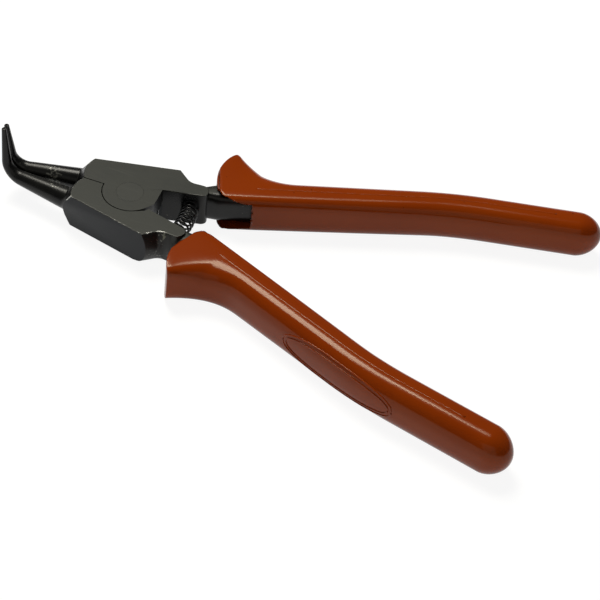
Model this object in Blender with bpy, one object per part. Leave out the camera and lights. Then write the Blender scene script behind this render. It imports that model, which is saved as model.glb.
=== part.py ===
"""Circlip pliers for external rings, with bent round noses: a Blender 4.5 script.

Two forged levers meet in a half lap on a flush rivet. Squeezing the handles opens the noses, and a coil
spring between the tangs pushes the handles apart again. Moulded sleeves cover the handles.

Frame: metres, +Z up. The origin is on the pivot axis, in the ground face under the head. The noses reach
along -X and their tips are bent up. The handles reach along +X, the upper lever's at +Y and the lower
lever's at -Y. The tool is at rest: the noses meet and the handles stand open.
"""

import math
from dataclasses import dataclass

import bmesh
import bpy
from mathutils import Matrix, Vector

# Head: a half lap, each lever's lobe in its own half of the thickness
HEAD_THICKNESS = 0.0112
HEAD_FRONT_EDGE = 0.0154
HEAD_FRONT_HALF_WIDTH = 0.00867
HEAD_REAR_EDGE = 0.0095
HEAD_REAR_HALF_WIDTH = 0.0148
SHOULDER_ANGLE = math.radians(54)
LOBE_RADIUS = 0.0078
LOBE_REAR_EDGE = 0.0082
LOBE_CORNER = 0.0018
LOBE_ROUND_END = math.radians(33)
HEAD_CORNER_RADIUS = 0.0004
LAP_GAP = 0.0003
SWING = math.radians(24)
SWING_MARGIN = math.radians(3)

# Rivet: a shank with countersunk ends, ground flush with the head
RIVET_RADIUS = 0.0029
RIVET_HEAD_RADIUS = 0.0039
RIVET_HEAD_DEPTH = 0.0012
RIVET_CLEARANCE = 0.00008

# Noses: round and tapered, bent up beyond a straight stretch
NOSE_ROOT_RADIUS = 0.00344
NOSE_ROOT_OFFSET = 0.0048
NOSE_BEND_START = 0.0320
NOSE_BEND_RADIUS = 0.00545
NOSE_RADIUS_BEFORE_BEND = 0.0022
NOSE_RADIUS_AFTER_BEND = 0.00142
NOSE_LEAN = math.radians(6.7)
TIP_RADIUS = 0.0007
TIP_HEIGHT = 0.0210

# Tangs: the ground tongues behind the head, and the forged bars that run on inside the sleeves
TANG_ROOT = 0.0046
TANG_HALF_WIDTH = 0.0021
TANG_SLEEVE_GAP = 0.0022
NECK_BACK = 0.0045
NECK_IN = 0.0037
NECK_FILLET = 0.0040
NECK_BULGE = 0.0015
NECK_CLEARANCE = 0.00002
BAR_ROOT_INNER = 0.0010
BAR_ROOT_OUTER = 0.0027
BAR_SHOULDER_INNER = 0.0031
BAR_SHOULDER_OUTER = 0.0042
BAR_ROOT_HALF_HEIGHT = 0.0054
BAR_ROOT_LENGTH = 0.0052
BAR_SETTLE = 0.0090
BAR_HALF_WIDTH = 0.0033
BAR_HALF_HEIGHT = 0.0047
BAR_END_SHORTFALL = 0.0060

# Handle line: straight, then a gentle inward bend, then straight to the centre of the round end
HANDLE_ROOT_X = 0.0220
HANDLE_ROOT_Y = 0.0104
HANDLE_ANGLE = math.radians(22.5)
HANDLE_STRAIGHT = 0.0587
HANDLE_BEND_ANGLE = math.radians(9.0)
HANDLE_BEND_RADIUS = 0.127
HANDLE_LENGTH = 0.1057
HANDLE_LENGTH_SET = 0.0007
HANDLE_SET = 0.0013
HANDLE_SKEW = math.radians(1.0)

# Sleeves: moulded over the bars, with a thumb guard in front and a notch in the inner wall
SLEEVE_CLEARANCE = 0.0003
SLEEVE_SIDE_WALL = 0.0017
SLEEVE_TOP_WALL = 0.0015
SLEEVE_END_LENGTH = 0.0069
GUARD_REACH = 0.0102
GUARD_LENGTH = 0.0170
GUARD_POWER = 2.2
MOUTH_RADIUS = 0.0142
MOUTH_CENTRE = 0.0142
MOUTH_OFFSET = 0.0034
MOUTH_SPAN = math.radians(88)
NOTCH_LENGTH = 0.0071
NOTCH_LIP = 0.0021
NOTCH_MOUTH_LIP = 0.0004
ROUNDING_START = 0.0100
ROUNDING_LENGTH = 0.0550
GRIP_SET = 0.0002

# Return spring, and the pegs that hold its ends
SPRING_SEAT = 0.0161
SPRING_OUTER_RADIUS = 0.00265
SPRING_WIRE = 0.0006
SPRING_COILS = 7
SPRING_CLOSED_PITCH = 0.00069
SPRING_END_GAP = 0.0003
PEG_RADIUS = 0.0015
PEG_STANDS_OUT = 0.0017
PEG_SUNK = 0.0022
PEG_CLEARANCE = 0.00003

# How finely round forms are divided
ROUND_SIDES = 32
NOSE_SIDES = 24
BAR_POINTS = 24
SLEEVE_POINTS = 40
COIL_POINTS = 14
WIRE_SIDES = 8
END_RINGS = 7
STEP = 0.0035
CORNER_PIECES = 6
NOSE_STRAIGHT_PIECES = 6
NOSE_BEND_PIECES = 12
NOSE_TIP_PIECES = 5
SHARP_ANGLE = math.radians(32)
BAR_SQUARENESS = 3.4
SLEEVE_SQUARENESS = 4.3
SLEEVE_END_SQUARENESS = 2.9
NECK_POINTS = 8

# How far helpers reach past what they cut, and what counts as one point
BEYOND = 0.0040
WELD = 0.000001

MIDDLE = HEAD_THICKNESS / 2
HALF_GAP = LAP_GAP / 2
SLEEVE_HALF_WIDTH = BAR_HALF_WIDTH + SLEEVE_CLEARANCE + SLEEVE_SIDE_WALL
SLEEVE_HALF_HEIGHT = BAR_HALF_HEIGHT + SLEEVE_CLEARANCE + SLEEVE_TOP_WALL


@dataclass(frozen=True)
class Side:
    """One half of the tool: its name, the side of the pivot it is on, and the half that its lobe is in."""

    name: str
    way: int
    lobe_on_top: bool

    def place(self, x, y, z):
        """A point given for the +Y side, moved to this side."""
        return Vector((x, self.way * y, z))

    def root(self):
        """Start of the handle line, given for the +Y side. The two forgings are set slightly differently."""
        return Vector((HANDLE_ROOT_X, HANDLE_ROOT_Y + self.way * HANDLE_SET))

    def root_angle(self):
        return HANDLE_ANGLE - self.way * HANDLE_SKEW

    def handle_length(self):
        return HANDLE_LENGTH - self.way * HANDLE_LENGTH_SET


UPPER = Side("upper", 1, True)
LOWER = Side("lower", -1, False)


def tang_line():
    """Middle of the ground tongue's end, and its direction angle. The tongue has neither set nor skew."""
    s = mouth_distance(0.0) - TANG_SLEEVE_GAP
    along = Vector((math.cos(HANDLE_ANGLE), math.sin(HANDLE_ANGLE)))
    return Vector((HANDLE_ROOT_X, HANDLE_ROOT_Y)) + along * s, HANDLE_ANGLE


def beside_tang(outward):
    """Corner of the ground tongue's end, at a distance outward from its middle."""
    here, angle = tang_line()
    return here + Vector((-math.sin(angle), math.cos(angle))) * outward


def clear_scene():
    for obj in list(bpy.data.objects):
        bpy.data.objects.remove(obj, do_unlink=True)


def new_collection(name):
    made = bpy.data.collections.new(name)
    bpy.context.scene.collection.children.link(made)
    return made


def new_material(name, colour, roughness, metallic):
    """A Principled material. The colour is linear."""
    made = bpy.data.materials.new(name)
    made.use_nodes = True
    made.diffuse_color = (*colour, 1.0)
    shader = made.node_tree.nodes["Principled BSDF"]
    shader.inputs["Base Color"].default_value = (*colour, 1.0)
    shader.inputs["Roughness"].default_value = roughness
    shader.inputs["Metallic"].default_value = metallic
    return made


def add_object(name, mesh, collection):
    obj = bpy.data.objects.new(name, mesh)
    collection.objects.link(obj)
    return obj


def mesh_from_bmesh(name, bm):
    """The bmesh as a mesh, with its seams closed and its faces pointing out."""
    bmesh.ops.remove_doubles(bm, verts=bm.verts, dist=WELD)
    bmesh.ops.recalc_face_normals(bm, faces=bm.faces)
    mesh = bpy.data.meshes.new(name)
    bm.to_mesh(mesh)
    bm.free()
    return mesh


def mesh_from_curve(name, curve):
    """The curve's solid as a mesh. The curve itself is removed."""
    guide = add_object(name + "_guide", curve, bpy.context.scene.collection)
    graph = bpy.context.evaluated_depsgraph_get()
    made = bpy.data.meshes.new_from_object(guide.evaluated_get(graph))
    bpy.data.objects.remove(guide, do_unlink=True)
    bm = bmesh.new()
    bm.from_mesh(made)
    bpy.data.meshes.remove(made)
    return mesh_from_bmesh(name, bm)


def plate(name, outline, bottom, top):
    """Mesh of a flat plate with this outline, between two heights."""
    curve = bpy.data.curves.new(name, "CURVE")
    curve.dimensions = "2D"
    curve.fill_mode = "BOTH"
    curve.extrude = (top - bottom) / 2
    spline = curve.splines.new("POLY")
    spline.points.add(len(outline) - 1)
    for point, (x, y) in zip(spline.points, outline):
        point.co = (x, y, 0.0, 1.0)
    spline.use_cyclic_u = True
    mesh = mesh_from_curve(name, curve)
    for vertex in mesh.vertices:
        vertex.co.z += (top + bottom) / 2
    return mesh


def rod(name, route, radii, sides):
    """Mesh of a round rod along a route, with its own radius at each point and flat ends."""
    curve = bpy.data.curves.new(name, "CURVE")
    curve.dimensions = "3D"
    curve.bevel_depth = max(radii)
    curve.bevel_resolution = sides // 2 - 2
    curve.use_fill_caps = True
    spline = curve.splines.new("POLY")
    spline.points.add(len(route) - 1)
    for point, place, radius in zip(spline.points, route, radii):
        point.co = (*place, 1.0)
        point.radius = radius / max(radii)
    return mesh_from_curve(name, curve)


def turned(name, profile, centre, axis):
    """Mesh of a turned solid. The profile is a closed list of (radius, distance along the axis)."""
    bm = bmesh.new()
    along = axis.normalized()
    out = along.orthogonal().normalized()
    verts = [bm.verts.new(centre + out * radius + along * distance) for radius, distance in profile]
    edges = [bm.edges.new(pair) for pair in zip(verts, verts[1:] + verts[:1])]
    bmesh.ops.spin(
        bm,
        geom=verts + edges,
        cent=centre,
        axis=along,
        angle=math.tau,
        steps=ROUND_SIDES,
        use_merge=True,
    )
    bmesh.ops.dissolve_degenerate(bm, dist=WELD, edges=bm.edges)
    return mesh_from_bmesh(name, bm)


def loft(name, rings):
    """Mesh of a closed solid through rings of points, each ring with as many points as the next."""
    bm = bmesh.new()
    loops = [[bm.verts.new(point) for point in ring] for ring in rings]
    for near, far in zip(loops, loops[1:]):
        for i in range(len(near)):
            j = (i + 1) % len(near)
            bm.faces.new((near[i], near[j], far[j], far[i]))
    bm.faces.new(loops[0])
    bm.faces.new(loops[-1])
    return mesh_from_bmesh(name, bm)


def boolean(target, operation, other):
    """Joins the other object to the target, or cuts it out. The other object is a hidden helper."""
    other.hide_render = True
    other.display_type = "WIRE"
    modifier = target.modifiers.new(operation.lower() + "_" + other.name, "BOOLEAN")
    modifier.operation = operation
    modifier.solver = "EXACT"
    modifier.object = other


def finish(obj, material):
    """Gives a piece its material, and smooth shading away from its edges."""
    obj.data.materials.clear()
    obj.data.materials.append(material)
    obj.data.shade_smooth()
    obj.data.set_sharp_from_angle(angle=SHARP_ANGLE)


def arc(centre, radius, start, end, pieces):
    """Points on an arc of a circle, from one angle to another."""
    angles = [start + (end - start) * i / pieces for i in range(pieces + 1)]
    return [(centre[0] + radius * math.cos(a), centre[1] + radius * math.sin(a)) for a in angles]


def rounded(corners):
    """Outline through corners (x, y, radius), each corner rounded by an arc of its own radius.

    An arc takes up to just under half of the side next to it.
    """
    most = 0.49
    points = []
    for i, (x, y, radius) in enumerate(corners):
        here = Vector((x, y))
        if radius == 0:
            points.append((x, y))
            continue
        back = Vector(corners[i - 1][:2]) - here
        ahead = Vector(corners[(i + 1) % len(corners)][:2]) - here
        half = back.angle(ahead) / 2
        reach = min(radius / math.tan(half), most * back.length, most * ahead.length)
        middle = (back.normalized() + ahead.normalized()).normalized()
        centre = here + middle * (reach / math.cos(half))
        first = here + back.normalized() * reach - centre
        last = here + ahead.normalized() * reach - centre
        turn = first.angle_signed(last)
        for step in range(CORNER_PIECES + 1):
            points.append(tuple(centre + Matrix.Rotation(-turn * step / CORNER_PIECES, 2) @ first))
    return points


def handle_point(side, s):
    """Place and direction angle on the handle line at a distance s from its root, for the +Y side."""
    angle = side.root_angle()
    start = side.root()
    straight = min(s, HANDLE_STRAIGHT)
    here = start + Vector((math.cos(angle), math.sin(angle))) * straight
    bend_length = HANDLE_BEND_RADIUS * HANDLE_BEND_ANGLE
    bent = min(max(s - HANDLE_STRAIGHT, 0.0), bend_length)
    turn = bent / HANDLE_BEND_RADIUS
    chord = 2 * HANDLE_BEND_RADIUS * math.sin(turn / 2)
    here += Vector((math.cos(angle - turn / 2), math.sin(angle - turn / 2))) * chord
    angle -= turn
    rest = max(s - HANDLE_STRAIGHT - bend_length, 0.0)
    here += Vector((math.cos(angle), math.sin(angle))) * rest
    return here, angle


def beside_handle(side, s, outward):
    """Plan point at a distance outward from the handle line."""
    here, angle = handle_point(side, s)
    return here + Vector((-math.sin(angle), math.cos(angle))) * outward


def section(side, s, inner, outer, half_height, squareness, count):
    """Ring of points square to the handle line: a rounded box that may reach further on its outer side."""
    ring = []
    for i in range(count):
        a = math.tau * (i + 0.5) / count
        across = math.copysign(abs(math.cos(a)) ** (2 / squareness), math.cos(a))
        up = math.copysign(abs(math.sin(a)) ** (2 / squareness), math.sin(a))
        width = outer if across > 0 else inner
        x, y = beside_handle(side, s, across * width)
        ring.append(side.place(x, y, MIDDLE + up * half_height))
    return ring


def stations(start, end):
    """Distances from start to end, about a step apart."""
    count = max(2, round((end - start) / STEP))
    return [start + (end - start) * i / count for i in range(count + 1)]


def mouth_distance(outward):
    """Distance along the handle line at which the sleeve's mouth lies, at this distance outward."""
    across = outward - MOUTH_OFFSET
    return MOUTH_CENTRE - math.sqrt(MOUTH_RADIUS**2 - across**2)


def head_side_half_width(x):
    """Distance of the head's slanted side from the parting line, at x."""
    slope = (HEAD_REAR_HALF_WIDTH - HEAD_FRONT_HALF_WIDTH) / (HEAD_REAR_EDGE + HEAD_FRONT_EDGE)
    return HEAD_REAR_HALF_WIDTH + slope * (x - HEAD_REAR_EDGE)


def neck_corners():
    """The top face's rear corner, and the corner where its rear edge would meet the tongue's outer edge."""
    rear = Vector((HEAD_REAR_EDGE, HEAD_REAR_HALF_WIDTH))
    return rear, rear + Vector((NECK_BACK, -NECK_IN))


def head_outline(side):
    """Plan outline of one lever's full thickness: half of the head, the neck and the ground tongue.

    The neck's wall is moved back by a little more than its bulge, for its cutter to trim.
    """
    front = -HEAD_FRONT_EDGE - BEYOND
    inner_end = beside_tang(-TANG_HALF_WIDTH)
    outer_end = beside_tang(TANG_HALF_WIDTH)
    rear, neck = neck_corners()
    wall_normal = Vector((NECK_IN, NECK_BACK)).normalized()

    def moved_back(corner, towards):
        """The corner moved along its other edge, until it lies behind the wall by the bulge and some more."""
        edge = (towards - corner).normalized()
        return corner + edge * (1.1 * NECK_BULGE / edge.dot(wall_normal))

    behind = HEAD_REAR_EDGE + BEYOND
    corners = [
        (front, HALF_GAP, 0),
        (0.0, HALF_GAP, 0),
        (LOBE_REAR_EDGE, TANG_ROOT, 0),
        (*inner_end, TANG_HALF_WIDTH),
        (*outer_end, TANG_HALF_WIDTH),
        (*moved_back(neck, outer_end), NECK_FILLET),
        (*moved_back(rear, Vector((behind, head_side_half_width(behind)))), HEAD_CORNER_RADIUS),
        (front, head_side_half_width(front), 0),
    ]
    return [(x, side.way * y) for x, y in rounded(corners)]


def neck_cutter(side):
    """The space outside the neck, whose wall bulges between the top and bottom faces."""
    rear, neck = neck_corners()
    corners = [(*(2 * rear - neck), 0), (*neck, NECK_FILLET), (*beside_tang(TANG_HALF_WIDTH), 0)]
    path = [Vector(point) for point in rounded(corners)]
    rings = []
    for before, here, after in zip([path[0]] + path, path, path[1:] + [path[-1]]):
        along = (after - before).normalized()
        outward = Vector((-along.y, along.x))
        wall = []
        for i in range(NECK_POINTS + 1):
            up = (2 * i / NECK_POINTS - 1) * 1.2 * MIDDLE
            wall.append((NECK_CLEARANCE + NECK_BULGE * (1 - (up / MIDDLE) ** 2), MIDDLE + up))
        wall += [(2 * NECK_BULGE, wall[-1][1]), (2 * NECK_BULGE, wall[0][1])]
        rings.append([side.place(*(here + outward * reach), z) for reach, z in wall])
    return loft("neck", rings)


def lobe_outline(side):
    """Plan outline of the lobe round the pivot, with a straight rear edge that meets the tang."""
    points = arc((0.0, 0.0), LOBE_RADIUS, -math.pi, -LOBE_ROUND_END, ROUND_SIDES)
    points += [(LOBE_REAR_EDGE, -LOBE_CORNER), (LOBE_REAR_EDGE, TANG_ROOT + HALF_GAP)]
    points.append((-LOBE_RADIUS, LAP_GAP))
    return [(x, side.way * y) for x, y in points]


def recess_outline(side):
    """Plan outline of the space for the other lever's lobe, wider where its rear corner swings past.

    Both ends of the outline lie across the parting line, outside this lever.
    """
    corner_reach = math.hypot(LOBE_REAR_EDGE, LOBE_CORNER) + LAP_GAP
    corner_swung = math.atan2(LOBE_CORNER, LOBE_REAR_EDGE) + SWING + SWING_MARGIN
    round_swung = LOBE_ROUND_END + SWING + SWING_MARGIN
    points = arc((0.0, 0.0), corner_reach, -math.pi / 3, corner_swung, ROUND_SIDES // 2)
    points += arc((0.0, 0.0), LOBE_RADIUS + LAP_GAP, round_swung, math.pi * 1.2, ROUND_SIDES)
    return [(x, side.way * y) for x, y in points]


def nose_route(side):
    """Points along the middle of the nose from inside the head to the tip, and the radius at each.

    From the bend on, the two noses lie a lap gap apart.
    """
    sweep = math.pi / 2 - NOSE_LEAN
    bend_end_x = -NOSE_BEND_START - NOSE_BEND_RADIUS * math.sin(sweep)
    bend_end_z = MIDDLE + NOSE_BEND_RADIUS * (1 - math.cos(sweep))
    path = [(-HEAD_FRONT_EDGE + NOSE_ROOT_RADIUS, MIDDLE, NOSE_ROOT_OFFSET, NOSE_ROOT_RADIUS)]

    def add_stretch(count, place, start, end):
        """Adds points up to the end. Start and end are each (offset, radius)."""
        for i in range(1, count + 1):
            share = i / count
            offset, radius = (a + (b - a) * share for a, b in zip(start, end))
            path.append((*place(share), offset, radius))

    root = (NOSE_ROOT_OFFSET, NOSE_ROOT_RADIUS)
    before = (NOSE_RADIUS_BEFORE_BEND + HALF_GAP, NOSE_RADIUS_BEFORE_BEND)
    after = (NOSE_RADIUS_AFTER_BEND + HALF_GAP, NOSE_RADIUS_AFTER_BEND)
    tip = (TIP_RADIUS + HALF_GAP, TIP_RADIUS)
    add_stretch(1, lambda share: (-HEAD_FRONT_EDGE, MIDDLE), root, root)
    straight = NOSE_BEND_START - HEAD_FRONT_EDGE
    add_stretch(
        NOSE_STRAIGHT_PIECES,
        lambda share: (-HEAD_FRONT_EDGE - straight * share, MIDDLE),
        root,
        before,
    )
    add_stretch(
        NOSE_BEND_PIECES,
        lambda share: (
            -NOSE_BEND_START - NOSE_BEND_RADIUS * math.sin(sweep * share),
            MIDDLE + NOSE_BEND_RADIUS * (1 - math.cos(sweep * share)),
        ),
        before,
        after,
    )
    rise = TIP_HEIGHT - bend_end_z
    lean = rise * math.tan(NOSE_LEAN)
    add_stretch(
        NOSE_TIP_PIECES,
        lambda share: (bend_end_x - lean * share, bend_end_z + rise * share),
        after,
        tip,
    )
    return [side.place(x, offset, z) for x, z, offset, _ in path], [radius for *_, radius in path]


def shoulder_cutter(side):
    """The space round the cone that joins the head's rectangular end to the round nose."""
    slope = math.tan(SHOULDER_ANGLE)
    axis_end = side.place(-HEAD_FRONT_EDGE, NOSE_ROOT_OFFSET, MIDDLE)
    inner = NOSE_ROOT_RADIUS / 2
    outer = HEAD_REAR_HALF_WIDTH
    front = BEYOND * 2

    def cone_x(radius):
        return (radius - MIDDLE) / slope

    profile = [(inner, -front), (outer, -front), (outer, cone_x(outer)), (inner, cone_x(inner))]
    return turned("shoulder_cutter_" + side.name, profile, axis_end, Vector((1.0, 0.0, 0.0)))


def bar_solid(name, side, start, end, grow):
    """Mesh of the forged bar, grown by a clearance. It leaves the tang, shoulders out and settles."""
    mouth = mouth_distance(0.0)
    rings = []
    for s in stations(start, end):
        leaving = min(max((s - bar_start()) / (mouth - bar_start()), 0.0), 1.0)
        settling = min(max((s - mouth) / BAR_SETTLE, 0.0), 1.0)
        shift = -side.way * HANDLE_SET * (1 - leaving)
        inner = BAR_ROOT_INNER + (BAR_SHOULDER_INNER - BAR_ROOT_INNER) * leaving**2
        inner += (BAR_HALF_WIDTH - BAR_SHOULDER_INNER) * settling
        outer = BAR_ROOT_OUTER + (BAR_SHOULDER_OUTER - BAR_ROOT_OUTER) * leaving
        outer += (BAR_HALF_WIDTH - BAR_SHOULDER_OUTER) * settling
        height = BAR_ROOT_HALF_HEIGHT + (BAR_HALF_HEIGHT - BAR_ROOT_HALF_HEIGHT) * settling
        reaches = (inner - shift + grow, outer + shift + grow, height + grow)
        rings.append(section(side, s, *reaches, BAR_SQUARENESS, BAR_POINTS))
    return loft(name, rings)


def bar_end():
    return HANDLE_LENGTH - BAR_END_SHORTFALL


def bar_start():
    return mouth_distance(0.0) - TANG_SLEEVE_GAP - BAR_ROOT_LENGTH


def rivet_profile(grow):
    """Turned outline of the rivet, grown by a clearance. The hole runs on past both faces."""
    past = BEYOND if grow else 0.0
    shank = RIVET_RADIUS + grow
    head = RIVET_HEAD_RADIUS + grow
    return [
        (0.0, -past),
        (head, -past),
        (head, 0.0),
        (shank, RIVET_HEAD_DEPTH),
        (shank, HEAD_THICKNESS - RIVET_HEAD_DEPTH),
        (head, HEAD_THICKNESS),
        (head, HEAD_THICKNESS + past),
        (0.0, HEAD_THICKNESS + past),
    ]


def tang_face_angle():
    """Angle between the tang's inner face and the parting line."""
    end_x, end_y = beside_tang(-TANG_HALF_WIDTH)
    return math.atan2(end_y - TANG_ROOT, end_x - LOBE_REAR_EDGE)


def spring_seat(side):
    """Where the spring's axis meets this side's tang, and the direction square into its face."""
    angle = tang_face_angle()
    seat = side.place(SPRING_SEAT, TANG_ROOT + math.tan(angle) * (SPRING_SEAT - LOBE_REAR_EDGE), MIDDLE)
    return seat, side.place(-math.sin(angle), math.cos(angle), 0.0)


def make_lever(side, parts, cutters, material):
    """One forging: head half with its lobe, round nose, ground tongue and bar."""
    head = plate(side.name + "_head", head_outline(side), 0.0, HEAD_THICKNESS)
    lever = add_object(side.name + "_lever", head, parts)
    if side.lobe_on_top:
        lobe_heights, recess_heights = (MIDDLE + HALF_GAP, HEAD_THICKNESS), (-BEYOND, MIDDLE + HALF_GAP)
    else:
        lobe_heights, recess_heights = (0.0, MIDDLE - HALF_GAP), (MIDDLE - HALF_GAP, HEAD_THICKNESS + BEYOND)
    rivet_hole = turned("hole", rivet_profile(RIVET_CLEARANCE), Vector(), Vector((0, 0, 1)))
    helpers = [
        ("DIFFERENCE", "neck", neck_cutter(side)),
        ("DIFFERENCE", "recess", plate("recess", recess_outline(side), *recess_heights)),
        ("UNION", "lobe", plate("lobe", lobe_outline(side), *lobe_heights)),
        ("DIFFERENCE", "shoulder", shoulder_cutter(side)),
        ("UNION", "nose", rod("nose", *nose_route(side), NOSE_SIDES)),
        ("UNION", "bar", bar_solid("bar", side, bar_start(), bar_end(), 0.0)),
        ("DIFFERENCE", "rivet_hole", rivet_hole),
        ("DIFFERENCE", "peg_hole", peg_solid(side, PEG_CLEARANCE)),
    ]
    for operation, name, mesh in helpers:
        boolean(lever, operation, add_object(f"{side.name}_{name}", mesh, cutters))
    finish(lever, material)
    return lever


def peg_solid(side, grow):
    """Mesh of the peg for the spring, square to the tang's face, or of its hole."""
    seat, inward = spring_seat(side)
    stands_out = 2 * PEG_STANDS_OUT if grow else PEG_STANDS_OUT
    radius = PEG_RADIUS + grow
    profile = [(0.0, -stands_out), (radius, -stands_out), (radius, PEG_SUNK + grow), (0.0, PEG_SUNK + grow)]
    return turned("peg", profile, seat, inward)


def make_rivet(parts, material):
    rivet = add_object("pivot_rivet", turned("rivet", rivet_profile(0.0), Vector(), Vector((0, 0, 1))), parts)
    finish(rivet, material)


def make_peg(side, parts, material):
    finish(add_object(side.name + "_spring_peg", peg_solid(side, 0.0), parts), material)


def make_spring(parts, material):
    """A coil spring that bows from seat to seat, square to each, with one closed turn at each end."""
    inset = SPRING_END_GAP + SPRING_WIRE / 2
    start, end = (seat - inward * inset for seat, inward in (spring_seat(LOWER), spring_seat(UPPER)))
    angle = tang_face_angle()
    bow_radius = (end - start).length / (2 * math.sin(angle))
    bow_centre = (start + end) / 2 - Vector((bow_radius * math.cos(angle), 0.0, 0.0))
    mean_radius = SPRING_OUTER_RADIUS - SPRING_WIRE / 2
    open_pitch = (2 * angle * bow_radius - 2 * SPRING_CLOSED_PITCH) / SPRING_COILS
    route = []
    for i in range((SPRING_COILS + 2) * COIL_POINTS + 1):
        turn = i / COIL_POINTS
        along = min(turn, 1.0) * SPRING_CLOSED_PITCH
        along += min(max(turn - 1.0, 0.0), SPRING_COILS) * open_pitch
        along += max(turn - 1.0 - SPRING_COILS, 0.0) * SPRING_CLOSED_PITCH
        bow = along / bow_radius - angle
        outward = Vector((math.cos(bow), math.sin(bow), 0.0))
        a = math.tau * turn
        reach = bow_radius + mean_radius * math.cos(a)
        route.append(bow_centre + outward * reach + Vector((0.0, 0.0, mean_radius * math.sin(a))))
    wire = rod("spring", route, [SPRING_WIRE / 2] * len(route), WIRE_SIDES)
    finish(add_object("return_spring", wire, parts), material)


def sleeve_outer(s):
    """How far the sleeve's outer side lies from the handle line, at s."""
    guard_start = mouth_distance(SLEEVE_HALF_WIDTH + GUARD_REACH)
    share = 1 - (s - guard_start) / GUARD_LENGTH
    return SLEEVE_HALF_WIDTH + GUARD_REACH * max(0.0, share) ** GUARD_POWER


def sleeve_solid(side):
    """Mesh of the sleeve's outside: sections along the handle line, drawn in to a round end.

    The section is crisp near the mouth and rounder behind it, where the two mouldings differ slightly.
    """
    front = MOUTH_CENTRE - MOUTH_RADIUS - BEYOND / 2
    rings = []
    for s in stations(front, side.handle_length()):
        share = min(max((s - ROUNDING_START) / ROUNDING_LENGTH, 0.0), 1.0)
        full = -side.way * GRIP_SET * share
        inner, outer, height = SLEEVE_HALF_WIDTH + full, sleeve_outer(s) + full, SLEEVE_HALF_HEIGHT + full
        squareness = SLEEVE_SQUARENESS + (SLEEVE_END_SQUARENESS - SLEEVE_SQUARENESS) * share
        rings.append(section(side, s, inner, outer, height, squareness, SLEEVE_POINTS))
    for i in range(1, END_RINGS):
        a = math.pi / 2 * i / END_RINGS
        squareness = SLEEVE_END_SQUARENESS + (2.0 - SLEEVE_END_SQUARENESS) * math.sin(a)
        s = side.handle_length() + SLEEVE_END_LENGTH * math.sin(a)
        width = inner * math.cos(a)
        rings.append(section(side, s, width, width, height * math.cos(a), squareness, SLEEVE_POINTS))
    return loft("sleeve", rings)


def mouth_cutter(side):
    """The space in front of the sleeve's mouth, whose edge bulges forwards in an arc."""
    centre = (MOUTH_CENTRE, MOUTH_OFFSET)
    edge = arc(centre, MOUTH_RADIUS, math.pi + MOUTH_SPAN, math.pi - MOUTH_SPAN, ROUND_SIDES)
    wide = 3 * MOUTH_RADIUS
    edge += [(edge[-1][0], wide), (-wide, wide), (-wide, -wide), (edge[0][0], -wide)]
    here, angle = handle_point(side, 0.0)
    along, out = Vector((math.cos(angle), math.sin(angle))), Vector((-math.sin(angle), math.cos(angle)))
    outline = [here + along * s + out * n for s, n in edge]
    points = [(x, side.way * y) for x, y in outline]
    return plate("mouth", points, MIDDLE - 2 * SLEEVE_HALF_HEIGHT, MIDDLE + 2 * SLEEVE_HALF_HEIGHT)


def notch_cutter(side):
    """The notch in the sleeve's inner wall, between its upper and lower lips."""
    mouth = mouth_distance(-SLEEVE_HALF_WIDTH)
    front = mouth_distance(0.0) - BEYOND
    rings = []
    for s in stations(front, mouth + NOTCH_LENGTH):
        share = min(1.0, (mouth + NOTCH_LENGTH - s) / NOTCH_LENGTH) ** 2
        half = SLEEVE_HALF_HEIGHT - NOTCH_LIP + (NOTCH_LIP - NOTCH_MOUTH_LIP) * share
        inner, middle = beside_handle(side, s, -2 * SLEEVE_HALF_WIDTH), beside_handle(side, s, 0.0)
        corners = [(inner, -half), (middle, -half), (middle, half), (inner, half)]
        rings.append([side.place(x, y, MIDDLE + up) for (x, y), up in corners])
    return loft("notch", rings)


def make_sleeve(side, parts, cutters, material):
    """The moulded sleeve: closed at its end, open at its mouth, hollow for the bar."""
    sleeve = add_object(side.name + "_sleeve", sleeve_solid(side), parts)
    front = MOUTH_CENTRE - MOUTH_RADIUS - BEYOND
    bore = bar_solid("bore", side, front, bar_end() + SLEEVE_CLEARANCE, SLEEVE_CLEARANCE)
    for name, mesh in (("bore", bore), ("mouth", mouth_cutter(side)), ("notch", notch_cutter(side))):
        boolean(sleeve, "DIFFERENCE", add_object(f"{side.name}_{name}", mesh, cutters))
    finish(sleeve, material)


def main():
    clear_scene()
    parts = new_collection("circlip_pliers")
    cutters = new_collection("cutters")
    for side in (UPPER, LOWER):
        steel = new_material(side.name + "_lever_steel", (0.045, 0.045, 0.042), 0.45, 0.9)
        make_lever(side, parts, cutters, steel)
        peg_steel = new_material(side.name + "_peg_steel", (0.03, 0.03, 0.03), 0.4, 0.9)
        make_peg(side, parts, peg_steel)
        plastic = new_material(side.name + "_sleeve_plastic", (0.24, 0.03, 0.002), 0.3, 0.0)
        make_sleeve(side, parts, cutters, plastic)
    make_rivet(parts, new_material("rivet_steel", (0.06, 0.06, 0.055), 0.4, 0.9))
    make_spring(parts, new_material("spring_steel", (0.02, 0.02, 0.02), 0.35, 0.9))


main()
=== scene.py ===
"""Looks of the circlip pliers: forged and ground levers, rivet, coil spring and glossy moulded sleeves.

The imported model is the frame. Each of its nodes is replaced by a finer piece of the same size, with
rounded edges and procedural finishes. Sizes are in millimetres, in the model's frame: the origin is on the
pivot axis in the ground face under the head, the noses reach along -X and the handles along +X.
"""

from __future__ import annotations

import logging
import math
from dataclasses import dataclass, field
from enum import Enum
from typing import Callable, Iterable, Sequence

import bmesh
import bpy
from mathutils import Matrix, Vector

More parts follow.
